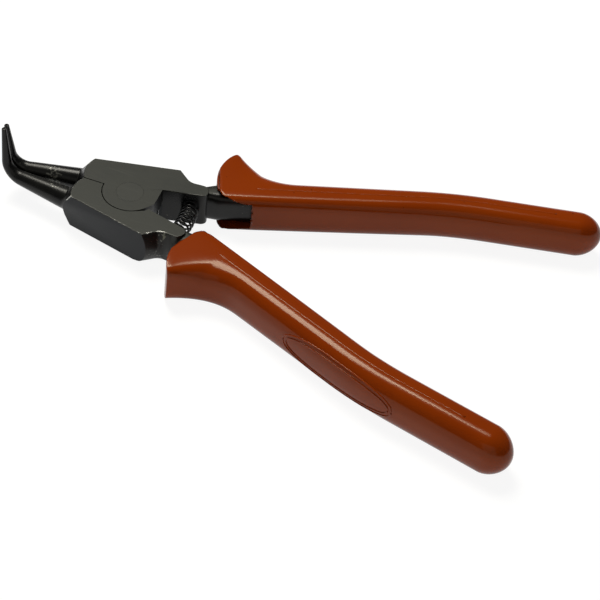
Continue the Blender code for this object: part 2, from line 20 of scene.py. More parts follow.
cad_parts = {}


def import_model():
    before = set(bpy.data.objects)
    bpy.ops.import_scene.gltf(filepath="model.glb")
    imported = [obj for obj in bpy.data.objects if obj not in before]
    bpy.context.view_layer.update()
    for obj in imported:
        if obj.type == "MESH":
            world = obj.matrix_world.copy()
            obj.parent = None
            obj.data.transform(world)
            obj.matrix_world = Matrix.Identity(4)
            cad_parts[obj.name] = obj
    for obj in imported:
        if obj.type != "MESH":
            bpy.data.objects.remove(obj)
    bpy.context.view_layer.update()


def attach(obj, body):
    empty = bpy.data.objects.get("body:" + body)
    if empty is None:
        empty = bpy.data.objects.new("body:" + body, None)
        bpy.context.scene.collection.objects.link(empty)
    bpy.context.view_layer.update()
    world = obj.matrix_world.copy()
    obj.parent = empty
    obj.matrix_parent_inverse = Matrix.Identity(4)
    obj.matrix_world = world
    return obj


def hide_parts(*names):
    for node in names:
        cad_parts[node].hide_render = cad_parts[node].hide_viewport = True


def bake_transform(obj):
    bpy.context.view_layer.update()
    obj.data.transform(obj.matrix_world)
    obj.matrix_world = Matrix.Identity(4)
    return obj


LOG = logging.getLogger("circlip_pliers")
MM = 0.001
# Vertices nearer than this are merged, in a new mesh and after Boolean steps
WELD = 0.0015 * MM
SLIVER = 0.03 * MM
# Squareness of a circle among the superellipses
ROUND = 2.0
# Largest share of an outline's side that the rounding of one corner takes
CORNER_SHARE = 0.49
PIVOT = (0.0, 0.0)
WHITE = (1.0, 1.0, 1.0)
RIGHT = Vector((1.0, 0.0, 0.0))
BACK = Vector((0.0, 1.0, 0.0))
UP = Vector((0.0, 0.0, 1.0))
Point = tuple[float, float]
Triple = tuple[float, float, float]


class Side(Enum):
    """One half of the tool, by the side of the parting line that its handle is on."""

    UPPER = 1
    LOWER = -1

    @property
    def way(self) -> int:
        """Sign of Y on this side."""
        return self.value

    @property
    def label(self) -> str:
        """Name used for this side's pieces."""
        return self.name.lower()

    @property
    def body(self) -> str:
        """Body of the model that this side's pieces ride on."""
        return f"{self.label}_handle"

    def place(self, x: float, y: float, z: float) -> Vector:
        """Point in metres on this side, from millimetres given for the +Y side."""
        return Vector((x, self.way * y, z)) * MM


class Surface(Enum):
    """Material slots of a lever, in order."""

    GROUND = 0
    FLANK = 1
    OXIDE = 2
    EDGE = 3
    FORGED = 4


# Node groups


def new_group(name: str, inputs: Sequence[tuple[str, float]], outputs: Sequence[str]) -> bpy.types.NodeTree:
    """Makes an empty shader node group with value sockets.

    Args:
        name: Name of the group.
        inputs: Name and default value of each input.
        outputs: Name of each output.

    Returns:
        The group, with its input and output nodes in place.
    """
    group = bpy.data.node_groups.new(name, "ShaderNodeTree")
    for label, value in inputs:
        socket = group.interface.new_socket(name=label, in_out="INPUT", socket_type="NodeSocketFloat")
        socket.default_value = value
    for label in outputs:
        group.interface.new_socket(name=label, in_out="OUTPUT", socket_type="NodeSocketFloat")
    group.nodes.new("NodeGroupInput")
    group.nodes.new("NodeGroupOutput")
    return group


@dataclass
class Graph:
    """A node tree with short calls for the nodes that the finishes use."""

    tree: bpy.types.NodeTree

    def node(self, kind: str, **settings: object) -> bpy.types.Node:
        """Adds a node.

        Args:
            kind: Type of the node.
            settings: Properties to set on it.

        Returns:
            The new node.
        """
        made = self.tree.nodes.new(kind)
        for key, value in settings.items():
            setattr(made, key, value)
        return made

    def feed(self, socket: bpy.types.NodeSocket, value: object) -> None:
        """Links a socket to an input, or sets the input's own value.

        Args:
            socket: The input.
            value: An output socket, a number, or a colour as three numbers.
        """
        if isinstance(value, bpy.types.NodeSocket):
            self.tree.links.new(value, socket)
        elif isinstance(value, tuple):
            socket.default_value = (*value, 1.0)
        else:
            socket.default_value = value

    def math(self, operation: str, *values: object, clamp: bool = False) -> bpy.types.NodeSocket:
        """Adds a Math node.

        Args:
            operation: Name of the operation.
            values: The values or sockets that it works on.
            clamp: Whether the result is kept between 0 and 1.

        Returns:
            The result's socket.
        """
        node = self.node("ShaderNodeMath", operation=operation, use_clamp=clamp)
        for socket, value in zip(node.inputs, values):
            self.feed(socket, value)
        return node.outputs[0]

    def ramp(self, value: object, low: float, high: float) -> bpy.types.NodeSocket:
        """Smooth step from 0 at one value to 1 at another.

        Args:
            value: Value or socket.
            low: Where the step starts.
            high: Where it ends.

        Returns:
            The result's socket.
        """
        node = self.node("ShaderNodeMapRange", interpolation_type="SMOOTHSTEP")
        self.feed(node.inputs["Value"], value)
        node.inputs["From Min"].default_value = low
        node.inputs["From Max"].default_value = high
        return node.outputs["Result"]

    def mix(self, share: object, first: object, second: object) -> bpy.types.NodeSocket:
        """Blends two colours.

        Args:
            share: Share of the second colour.
            first: First colour or socket.
            second: Second colour or socket.

        Returns:
            The colour's socket.
        """
        node = self.node("ShaderNodeMix", data_type="RGBA")
        self.feed(node.inputs["Factor"], share)
        self.feed(node.inputs["A"], first)
        self.feed(node.inputs["B"], second)
        return node.outputs["Result"]

    def position(self) -> bpy.types.NodeSocket:
        """Object coordinates."""
        return self.node("ShaderNodeTexCoord").outputs["Object"]

    def stretched(self, scale: Triple) -> bpy.types.NodeSocket:
        """Object coordinates, scaled along each axis.

        Args:
            scale: Scale along X, Y and Z.

        Returns:
            The coordinates' socket.
        """
        mapping = self.node("ShaderNodeMapping")
        self.feed(mapping.inputs["Vector"], self.position())
        mapping.inputs["Scale"].default_value = scale
        return mapping.outputs["Vector"]

    def noise(self, place: bpy.types.NodeSocket, scale: object, detail: float = 3.0) -> bpy.types.NodeSocket:
        """Adds a Noise Texture node.

        Args:
            place: Coordinates' socket.
            scale: Scale, per metre, or a socket.
            detail: Number of finer layers.

        Returns:
            The noise value's socket.
        """
        node = self.node("ShaderNodeTexNoise")
        self.feed(node.inputs["Vector"], place)
        self.feed(node.inputs["Scale"], scale)
        node.inputs["Detail"].default_value = detail
        return node.outputs["Fac"]

    def bump(self, shader: bpy.types.Node, height: bpy.types.NodeSocket, depth: float) -> None:
        """Gives a shader a bump.

        Args:
            shader: The Principled shader.
            height: Socket of the height, 0 to 1.
            depth: Height of the relief in millimetres.
        """
        bump = self.node("ShaderNodeBump")
        bump.inputs["Distance"].default_value = depth * MM
        bump.inputs["Strength"].default_value = 1.0
        self.feed(bump.inputs["Height"], height)
        self.feed(shader.inputs["Normal"], bump.outputs["Normal"])

    def end(self, **results: object) -> None:
        """Feeds the group's outputs.

        Args:
            results: Socket for each output, by the output's name with underscores for spaces.
        """
        output = next(node for node in self.tree.nodes if node.type == "GROUP_OUTPUT")
        for name, value in results.items():
            self.feed(output.inputs[name.replace("_", " ")], value)

    def given(self, name: str) -> bpy.types.NodeSocket:
        """Socket of one of the group's inputs."""
        return next(node for node in self.tree.nodes if node.type == "GROUP_INPUT").outputs[name]

    def use(self, group: bpy.types.NodeTree, **values: object) -> bpy.types.Node:
        """Places a node group.

        Args:
            group: The group.
            values: Value or socket for each input, by the input's name with underscores for spaces.

        Returns:
            The group's node.
        """
        node = self.node("ShaderNodeGroup", node_tree=group)
        for name, value in values.items():
            self.feed(node.inputs[name.replace("_", " ")], value)
        return node


@dataclass
class Effects:
    """Node groups shared by the finishes, each built once, and the sizes and limits of their patterns."""

    cloud_range: Point = (0.3, 0.7)
    speck_patches: float = 160.0
    speck_range: Point = (0.52, 0.6)
    mark_stretch: Triple = (260.0, 4200.0, 260.0)
    scratch_stretch: Triple = (70.0, 1500.0, 70.0)
    scratch_range: Point = (0.68, 0.74)
    wear_patches: float = 110.0
    wear_share: float = 0.55
    wear_contrast: float = 18.0
    mottle: bpy.types.NodeTree = field(init=False)
    specks: bpy.types.NodeTree = field(init=False)
    grind: bpy.types.NodeTree = field(init=False)
    nicks: bpy.types.NodeTree = field(init=False)

    def __post_init__(self) -> None:
        """Builds the groups."""
        self.mottle = self.build_mottle()
        self.specks = self.build_specks()
        self.grind = self.build_grind()
        self.nicks = self.build_nicks()

    def build_mottle(self) -> bpy.types.NodeTree:
        """Slow cloudy variation with a fine grain in it.

        Returns:
            The group.
        """
        inputs = [("Cloud Scale", 90.0), ("Grain Scale", 2400.0)]
        graph = Graph(new_group("mottle", inputs, ["Cloud", "Grain"]))
        place = graph.position()
        graph.end(
            Cloud=graph.ramp(graph.noise(place, graph.given("Cloud Scale")), *self.cloud_range),
            Grain=graph.noise(place, graph.given("Grain Scale"), 2.0),
        )
        return graph.tree

    def build_specks(self) -> bpy.types.NodeTree:
        """Small specks, scattered in patches.

        Returns:
            The group.
        """
        graph = Graph(new_group("specks", [("Scale", 300.0), ("Size", 0.06)], ["Mask"]))
        cells = graph.node("ShaderNodeTexVoronoi")
        graph.feed(cells.inputs["Vector"], graph.position())
        graph.feed(cells.inputs["Scale"], graph.given("Scale"))
        patches = graph.noise(graph.position(), self.speck_patches, 1.0)
        near = graph.math("LESS_THAN", cells.outputs["Distance"], graph.given("Size"))
        graph.end(Mask=graph.math("MULTIPLY", near, graph.ramp(patches, *self.speck_range)))
        return graph.tree

    def build_grind(self) -> bpy.types.NodeTree:
        """Fine parallel marks of surface grinding along the head, and a few deeper scratches.

        Returns:
            The group.
        """
        graph = Graph(new_group("grind", [("Scale", 1.0)], ["Marks", "Scratches"]))
        marks = graph.noise(graph.stretched(self.mark_stretch), graph.given("Scale"))
        scratches = graph.noise(graph.stretched(self.scratch_stretch), graph.given("Scale"), 1.0)
        graph.end(Marks=marks, Scratches=graph.ramp(scratches, *self.scratch_range))
        return graph.tree

    def build_nicks(self) -> bpy.types.NodeTree:
        """Places where the finish is worn off, gathered in patches.

        Returns:
            The group.
        """
        graph = Graph(new_group("nicks", [("Scale", 420.0), ("Threshold", 0.55)], ["Mask"]))
        patches = graph.noise(graph.position(), self.wear_patches, 1.0)
        small = graph.noise(graph.position(), graph.given("Scale"), 2.0)
        patches = graph.math("MULTIPLY", patches, self.wear_share)
        both = graph.math("ADD", patches, graph.math("MULTIPLY", small, 1 - self.wear_share))
        over = graph.math("SUBTRACT", both, graph.given("Threshold"))
        graph.end(Mask=graph.math("MULTIPLY", over, self.wear_contrast, clamp=True))
        return graph.tree


# Finishes


@dataclass(frozen=True)
class Finish:
    """A material's name and the fixed values of its Principled shader."""

    name: str
    roughness: float
    metallic: float = 0.0
    specular: float = 0.5

    def start(self) -> tuple[bpy.types.Material, Graph, bpy.types.Node]:
        """Makes the material with its Principled shader.

        Returns:
            The material, its graph and its shader.
        """
        material = bpy.data.materials.new(self.name)
        material.use_nodes = True
        shader = material.node_tree.nodes["Principled BSDF"]
        shader.inputs["Roughness"].default_value = self.roughness
        shader.inputs["Metallic"].default_value = self.metallic
        shader.inputs["Specular IOR Level"].default_value = self.specular
        return material, Graph(material.node_tree), shader


@dataclass(frozen=True, kw_only=True)
class Steel(Finish):
    """Steel that varies between two shades, with a fine grain, and grinding marks or nicks where wanted."""

    light: Triple
    dark: Triple
    grain_depth: float = 0.01
    roughness_spread: float = 0.08
    ground: bool = False
    mark_range: Point = (0.35, 0.8)
    mark_paleness: float = 1.7
    mark_share: float = 0.12
    scratch_share: float = 0.15
    nicked: bool = False
    nick_threshold: float = 0.61
    nick_scale: float = 1500.0
    nick_colour: Triple = (0.13, 0.13, 0.115)

    def build(self, effects: Effects) -> bpy.types.Material:
        """Builds the material.

        Args:
            effects: The shared node groups.

        Returns:
            The material.
        """
        material, graph, shader = self.start()
        mottle = graph.use(effects.mottle)
        cloud, height = mottle.outputs["Cloud"], mottle.outputs["Grain"]
        colour = graph.mix(cloud, self.dark, self.light)
        smoothest = self.roughness - self.roughness_spread / 2
        if self.ground:
            grind = graph.use(effects.grind)
            pale = tuple(self.mark_paleness * value for value in self.light)
            marks = graph.ramp(grind.outputs["Marks"], *self.mark_range)
            colour = graph.mix(graph.math("MULTIPLY", marks, self.mark_share), colour, pale)
            scratches = graph.math("MULTIPLY", grind.outputs["Scratches"], self.scratch_share)
            colour = graph.mix(scratches, colour, pale)
            height = graph.math("ADD", height, grind.outputs["Marks"])
        if self.nicked:
            nicks = graph.use(effects.nicks, Scale=self.nick_scale, Threshold=self.nick_threshold)
            colour = graph.mix(nicks.outputs["Mask"], colour, self.nick_colour)
        graph.feed(shader.inputs["Base Color"], colour)
        rough = graph.math("MULTIPLY_ADD", cloud, self.roughness_spread, smoothest)
        graph.feed(shader.inputs["Roughness"], rough)
        graph.bump(shader, height, self.grain_depth)
        return material


@dataclass(frozen=True, kw_only=True)
class WornEdge(Finish):
    """Steel of an edge or a rough facet: dark, with bright nicks where the finish has worn off."""

    dark: Triple
    bright: Triple
    threshold: float

    def build(self, effects: Effects) -> bpy.types.Material:
        """Builds the material.

        Args:
            effects: The shared node groups.

        Returns:
            The material.
        """
        material, graph, shader = self.start()
        nicks = graph.use(effects.nicks, Threshold=self.threshold)
        graph.feed(shader.inputs["Base Color"], graph.mix(nicks.outputs["Mask"], self.dark, self.bright))
        return material


@dataclass(frozen=True, kw_only=True)
class Plastic(Finish):
    """Glossy moulded plastic with slight clouding, faint ripples and a few dark specks."""

    colour: Triple = (0.255, 0.034, 0.0)
    cloud: Triple = (0.235, 0.029, 0.0)
    speck: Triple = (0.06, 0.008, 0.001)
    shine: Triple = (1.0, 0.9, 0.7)
    cloud_scale: float = 45.0
    ripple_scale: float = 380.0
    ripple_depth: float = 0.013

    def build(self, effects: Effects) -> bpy.types.Material:
        """Builds the material.

        Args:
            effects: The shared node groups.

        Returns:
            The material.
        """
        material, graph, shader = self.start()
        graph.feed(shader.inputs["Specular Tint"], self.shine)
        mottle = graph.use(effects.mottle, Cloud_Scale=self.cloud_scale, Grain_Scale=self.ripple_scale)
        specks = graph.use(effects.specks)
        colour = graph.mix(mottle.outputs["Cloud"], self.colour, self.cloud)
        graph.feed(shader.inputs["Base Color"], graph.mix(specks.outputs["Mask"], colour, self.speck))
        graph.bump(shader, mottle.outputs["Grain"], self.ripple_depth)
        return material


GROUND_STEEL = Steel(
    "ground_steel",
    roughness=0.5,
    metallic=0.8,
    light=(0.028, 0.029, 0.026),
    dark=(0.021, 0.022, 0.02),
    ground=True,
)
FLANK_STEEL = Steel(
    "flank_steel",
    roughness=0.42,
    metallic=0.7,
    specular=0.3,
    light=(0.021, 0.022, 0.024),
    dark=(0.015, 0.016, 0.017),
    grain_depth=0.015,
)
OXIDE_STEEL = Steel(
    "oxide_steel",
    roughness=0.3,
    metallic=0.6,
    light=(0.014, 0.014, 0.013),
    dark=(0.007, 0.007, 0.007),
    grain_depth=0.02,
    nicked=True,
)
LEVER_EDGE = WornEdge(
    "lever_edge",
    roughness=0.34,
    metallic=0.85,
    dark=(0.045, 0.045, 0.042),
    bright=(0.4, 0.4, 0.38),
    threshold=0.55,
)
FORGED_STEEL = WornEdge(
    "forged_steel",
    roughness=0.5,
    metallic=0.6,
    dark=(0.02, 0.021, 0.018),
    bright=(0.14, 0.14, 0.11),
    threshold=0.53,
)
RIVET_STEEL = Steel(
    "rivet_steel",
    roughness=0.49,
    metallic=0.8,
    light=(0.029, 0.03, 0.027),
    dark=(0.022, 0.023, 0.021),
    ground=True,
)
SPRING_STEEL = Steel(
    "spring_steel",
    roughness=0.26,
    metallic=0.7,
    light=(0.03, 0.03, 0.03),
    dark=(0.015, 0.015, 0.015),
)
SLEEVE_PLASTIC = Plastic("sleeve_plastic", roughness=0.15, specular=0.22)


# Mesh tools


def new_object(name: str, data: bpy.types.ID) -> bpy.types.Object:
    """Adds an object to the scene.

    Args:
        name: Name of the object.
        data: Its mesh, light or camera.

    Returns:
        The object.
    """
    made = bpy.data.objects.new(name, data)
    bpy.context.scene.collection.objects.link(made)
    return made


def finish_mesh(name: str, bm: bmesh.types.BMesh) -> bpy.types.Mesh:
    """Turns a bmesh into a closed, outward mesh.

    Args:
        name: Name of the mesh.
        bm: The bmesh, which is freed.

    Returns:
        The mesh.
    """
    bmesh.ops.remove_doubles(bm, verts=bm.verts, dist=WELD)
    bmesh.ops.recalc_face_normals(bm, faces=bm.faces)
    mesh = bpy.data.meshes.new(name)
    bm.to_mesh(mesh)
    bm.free()
    return mesh


def only(kind: type, items: Iterable[object]) -> list:
    """Items of one kind, out of the mixed geometry that a bmesh operator gives."""
    return [item for item in items if isinstance(item, kind)]


def plate(name: str, outline: Sequence[Vector], top: float) -> bpy.types.Mesh:
    """Extrudes a flat outline upwards.

    Args:
        name: Name of the mesh.
        outline: Corners, all at the plate's bottom height.
        top: Height of the plate's top, in millimetres.

    Returns:
        The mesh.
    """
    bm = bmesh.new()
    face = bm.faces.new([bm.verts.new(corner) for corner in outline])
    made = bmesh.ops.extrude_face_region(bm, geom=[face])
    for vert in only(bmesh.types.BMVert, made["geom"]):
        vert.co.z = top * MM
    return finish_mesh(name, bm)


def sweep(name: str, rings: Sequence[Sequence[Vector]], looped: bool = False) -> bpy.types.Mesh:
    """Extrudes a ring of edges from one station to the next, and closes the ends.

    Args:
        name: Name of the mesh.
        rings: Points of the ring at each station, in metres.
        looped: Whether the last ring is the first one again, so that there are no ends.

    Returns:
        The mesh.
    """
    bm = bmesh.new()
    circle = bmesh.ops.create_circle(bm, segments=len(rings[0]), radius=MM)["verts"]
    order = {vert: i for i, vert in enumerate(circle)}
    for vert, i in order.items():
        vert.co = rings[0][i]
    edges = list(bm.edges)
    if not looped:
        bmesh.ops.contextual_create(bm, geom=edges)
    for ring in rings[1:]:
        made = bmesh.ops.extrude_edge_only(bm, edges=edges)["geom"]
        edges = only(bmesh.types.BMEdge, made)
        before, order = order, {}
        for vert in only(bmesh.types.BMVert, made):
            neighbours = (edge.other_vert(vert) for edge in vert.link_edges)
            order[vert] = next(before[other] for other in neighbours if other in before)
            vert.co = ring[order[vert]]
    if not looped:
        bmesh.ops.contextual_create(bm, geom=edges)
    return finish_mesh(name, bm)


def turned(
    name: str, profile: Sequence[Point], centre: Vector, axis: Vector, count: int = 96
) -> bpy.types.Mesh:
    """Spins a profile into a turned solid.

    Args:
        name: Name of the mesh.
        profile: Radius and distance along the axis in millimetres, a loop or from axis to axis.
        centre: A point on the axis, in metres.
        axis: Direction of the axis.
        count: Number of steps round.

    Returns:
        The mesh.
    """
    bm = bmesh.new()
    along = axis.normalized()
    out = along.orthogonal().normalized()
    verts = [bm.verts.new(centre + (out * radius + along * distance) * MM) for radius, distance in profile]
    closing = [] if profile[0][0] == profile[-1][0] == 0 else [(verts[-1], verts[0])]
    edges = [bm.edges.new(pair) for pair in [*zip(verts, verts[1:]), *closing]]
    whole = verts + edges
    bmesh.ops.spin(bm, geom=whole, cent=centre, axis=along, angle=math.tau, steps=count, use_merge=True)
    bmesh.ops.dissolve_degenerate(bm, dist=WELD, edges=bm.edges)
    return finish_mesh(name, bm)


def cut_and_join(target: bpy.types.Object, stages: Sequence[tuple[str, bpy.types.Mesh]]) -> None:
    """Applies Boolean operations to an object and removes their helpers.

    Args:
        target: The object.
        stages: Operation and helper mesh of each stage.
    """
    helpers = []
    for operation, mesh in stages:
        helper = new_object("helper", mesh)
        helpers.append(helper)
        modifier = target.modifiers.new(operation, "BOOLEAN")
        modifier.operation = operation
        modifier.solver = "EXACT"
        modifier.object = helper
    graph = bpy.context.evaluated_depsgraph_get()
    made = bpy.data.meshes.new_from_object(target.evaluated_get(graph))
    target.modifiers.clear()
    target.data = made
    for helper in helpers:
        bpy.data.objects.remove(helper, do_unlink=True)
    bm = bmesh.new()
    bm.from_mesh(made)
    bmesh.ops.dissolve_degenerate(bm, dist=SLIVER, edges=bm.edges)
    bmesh.ops.remove_doubles(bm, verts=bm.verts, dist=SLIVER)
    bm.to_mesh(made)
    bm.free()


def dress(piece: bpy.types.Object, *finishes: bpy.types.Material) -> None:
    """Gives a piece these material slots alone, in this order."""
    piece.data.materials.clear()
    for finish in finishes:
        piece.data.materials.append(finish)


def round_edges(
    piece: bpy.types.Object,
    width: float,
    angle: float = 30.0,
    segments: int = 3,
    slot: int = -1,
    chosen: Callable[[bmesh.types.BMEdge], bool] = lambda edge: True,
) -> None:
    """Rounds a piece's sharp edges with a Bevel modifier and shades it smooth.

    Args:
        piece: The object.
        width: Width of the rounding in millimetres.
        angle: Smallest angle of a sharp edge, in degrees.
        segments: Number of segments.
        slot: Material slot of the rounded edges, or -1 to keep their neighbours' slots.
        chosen: Whether a sharp edge is rounded.
    """
    bm = bmesh.new()
    bm.from_mesh(piece.data)
    weight = bm.edges.layers.float.new("bevel_weight_edge")
    for edge in bm.edges:
        sharp = edge.is_manifold and edge.calc_face_angle() > math.radians(angle)
        edge[weight] = 1.0 if sharp and chosen(edge) else 0.0
    bm.to_mesh(piece.data)
    bm.free()
    piece.data.shade_smooth()
    piece.data.set_sharp_from_angle(angle=math.radians(angle))
    bevel = piece.modifiers.new("rounded_edges", "BEVEL")
    bevel.width = width * MM
    bevel.segments = segments
    bevel.limit_method = "WEIGHT"
    bevel.use_clamp_overlap = False
    bevel.miter_outer = "MITER_ARC"
    bevel.harden_normals = True
    bevel.material = slot


def arc(centre: Point, radius: float, start: float, end: float, pieces: int) -> list[Point]:
    """Points on an arc of a circle, from one angle to the other in this many pieces."""
    angles = [start + (end - start) * i / pieces for i in range(pieces + 1)]
    return [(centre[0] + radius * math.cos(a), centre[1] + radius * math.sin(a)) for a in angles]


def rounded(corners: Sequence[tuple[float, float, float]], pieces: int = 14) -> list[Point]:
    """Outline through corners, each rounded by an arc.

    Args:
        corners: X, Y and radius of each corner.
        pieces: Number of steps in each arc.

    Returns:
        The outline's points.
    """
    points: list[Point] = []
    for place, (x, y, radius) in enumerate(corners):
        if radius == 0:
            points.append((x, y))
            continue
        here = Vector((x, y))
        back = Vector(corners[place - 1][:2]) - here
        ahead = Vector(corners[(place + 1) % len(corners)][:2]) - here
        half = back.angle(ahead) / 2
        reach = min(radius / math.tan(half), CORNER_SHARE * back.length, CORNER_SHARE * ahead.length)
        middle = (back.normalized() + ahead.normalized()).normalized()
        centre = here + middle * (reach / math.cos(half))
        first = here + back.normalized() * reach - centre
        last = here + ahead.normalized() * reach - centre
        turn = -first.angle_signed(last)
        points += [tuple(centre + Matrix.Rotation(turn * i / pieces, 2) @ first) for i in range(pieces + 1)]
    return points


def superellipse(count: int, squareness: float, crown: float = 0.0) -> list[Point]:
    """Points of a rounded square of half width 1.

    Args:
        count: Number of points.
        squareness: 2 for a circle, more for a squarer form.
        crown: The same for the outer upper quarter, where it is another value.

    Returns:
        The points, from the outer side upwards.
    """
    points = []
    for i in range(count):
        a = math.tau * (i + 0.5) / count
        power = 2 / (crown if crown and a < math.pi / 2 else squareness)
        across = math.copysign(abs(math.cos(a)) ** power, math.cos(a))
        points.append((across, math.copysign(abs(math.sin(a)) ** power, math.sin(a))))
    return points


def steps(start: float, end: float, step: float) -> list[float]:
    """Values from start to end, evenly spaced and about a step apart."""
    count = max(2, round(abs((end - start) / step)))
    return [start + (end - start) * i / count for i in range(count + 1)]


# Measures that the pieces share


@dataclass(frozen=True)
class Head:
    """Sizes of the half-lap head, in millimetres."""

    thickness: float = 11.2
    front_edge: float = 15.4
    front_half_width: float = 8.67
    rear_edge: float = 9.5
    rear_half_width: float = 14.8
    lap_gap: float = 0.3

    @property
    def middle(self) -> float:
        """Height of the lap."""
        return self.thickness / 2

    @property
    def half_gap(self) -> float:
        """Half of the gap between the levers."""
        return self.lap_gap / 2


@dataclass(frozen=True)
class Mouth:
    """Arc of a sleeve's front edge, seen from above, in millimetres along and across the handle line."""

    radius: float = 14.2
    centre: float = 14.2
    offset: float = 3.4

    def distance(self, outward: float) -> float:
        """Distance along the handle line at which the mouth lies, this far outward from it."""
        return self.centre - math.sqrt(max(0.0, self.radius**2 - (outward - self.offset) ** 2))


@dataclass(frozen=True)
class HandleLine:
    """Middle line of one handle: straight, a gentle inward bend, and straight again, in millimetres."""

    side: Side
    root: Point = (22.0, 10.4)
    angle: float = math.radians(22.5)
    straight: float = 58.7
    bend_angle: float = math.radians(9.0)
    bend_radius: float = 127.0
    mean_length: float = 105.7
    length_set: float = 0.7
    set_out: float = 1.3
    skew: float = math.radians(1.0)

    @property
    def length(self) -> float:
        """Length up to the sleeve's round end."""
        return self.mean_length - self.side.way * self.length_set

    def at(self, s: float) -> tuple[Vector, float]:
        """Place and direction on the line, for the +Y side.

        Args:
            s: Distance from the root.

        Returns:
            The plan point and the direction's angle.
        """
        angle = self.angle - self.side.way * self.skew
        here = Vector((self.root[0], self.root[1] + self.side.way * self.set_out))
        here += Vector((math.cos(angle), math.sin(angle))) * min(s, self.straight)
        bend_length = self.bend_radius * self.bend_angle
        turn = min(max(s - self.straight, 0.0), bend_length) / self.bend_radius
        chord = 2 * self.bend_radius * math.sin(turn / 2)
        here += Vector((math.cos(angle - turn / 2), math.sin(angle - turn / 2))) * chord
        angle -= turn
        here += Vector((math.cos(angle), math.sin(angle))) * max(s - self.straight - bend_length, 0.0)
        return here, angle

    def beside(self, s: float, outward: float) -> Vector:
        """Plan point at a distance from the root and a distance outward from the line."""
        here, angle = self.at(s)
        return here + Vector((-math.sin(angle), math.cos(angle))) * outward

    def spot(self, s: float, outward: float, z: float) -> Vector:
        """Point in metres on this side: this far from the root, outward from the line and up."""
        x, y = self.beside(s, outward)
        return self.side.place(x, y, z)


@dataclass(frozen=True)
class Bar:
    """Forged bar of one lever: it leaves the tang, shoulders out and runs on inside the sleeve."""

    line: HandleLine
    head: Head = Head()
    mouth: Mouth = Mouth()
    root_inner: float = 1.0
    root_outer: float = 2.7
    shoulder_inner: float = 3.1
    shoulder_outer: float = 4.2
    root_half_height: float = 4.9
    settle: float = 9.0
    half_width: float = 3.3
    half_height: float = 4.7
    end_shortfall: float = 6.0
    root_length: float = 5.2
    tang_gap: float = 2.2
    squareness: float = 3.4
    points: int = 72
    ring_step: float = 1.0

    @property
    def tang_end(self) -> float:
        """Distance along the handle line at which the ground tongue ends."""
        return self.mouth.distance(0.0) - self.tang_gap

    @property
    def start(self) -> float:
        """Distance along the handle line at which the bar starts, inside the tongue."""
        return self.tang_end - self.root_length

    @property
    def end(self) -> float:
        """Distance along the handle line at which the bar ends."""
        return self.line.mean_length - self.end_shortfall

    def reaches(self, s: float) -> tuple[float, float, float]:
        """Inner, outer and upward reach of the bar's section.

        Args:
            s: Distance along the handle line.

        Returns:
            The three reaches.
        """
        mouth = self.mouth.distance(0.0)
        leaving = min(max((s - self.start) / (mouth - self.start), 0.0), 1.0)
        settling = min(max((s - mouth) / self.settle, 0.0), 1.0)
        shift = -self.line.side.way * self.line.set_out * (1 - leaving)
        inner = self.root_inner + (self.shoulder_inner - self.root_inner) * leaving**2
        inner += (self.half_width - self.shoulder_inner) * settling
        outer = self.root_outer + (self.shoulder_outer - self.root_outer) * leaving
        outer += (self.half_width - self.shoulder_outer) * settling
        height = self.root_half_height + (self.half_height - self.root_half_height) * settling
        return inner - shift, outer + shift, height

    def ring(self, s: float, grow: float, place: Callable[[float], float] | None = None) -> list[Vector]:
        """Points of the bar's section, square to the handle line or along an edge.

        Args:
            s: Distance along the handle line.
            grow: Clearance added all round.
            place: Distance along the line for each outward distance, where it isn't s.

        Returns:
            The points.
        """
        inner, outer, height = self.reaches(s)
        ring = []
        for across, up in superellipse(self.points, self.squareness):
            n = across * ((outer if across > 0 else inner) + grow)
            along = place(n) if place else s
            ring.append(self.line.spot(along, n, self.head.middle + up * (height + grow)))
        return ring

    def mesh(self) -> bpy.types.Mesh:
        """Mesh of the bar."""
        return sweep("bar", [self.ring(s, 0.0) for s in steps(self.start, self.end, self.ring_step)])


# Pieces


@dataclass(frozen=True)
class FinishLimits:
    """Where a lever's finishes and rounded edges begin and end, in millimetres, and how faces must lie."""

    nose_gap: float = 0.2
    tongue_gap: float = 1.5
    rear_gap: float = 1.0
    flat: float = 0.95
    inward: float = 0.3
    outward: float = 0.2
    forged_start: float = 15.0
    forged_end: float = 24.0
    forged_bottom: float = 7.2
    edge_from_pivot: float = 9.0
    edge_from_lap: float = 0.1
    edge_below_face: float = 0.01


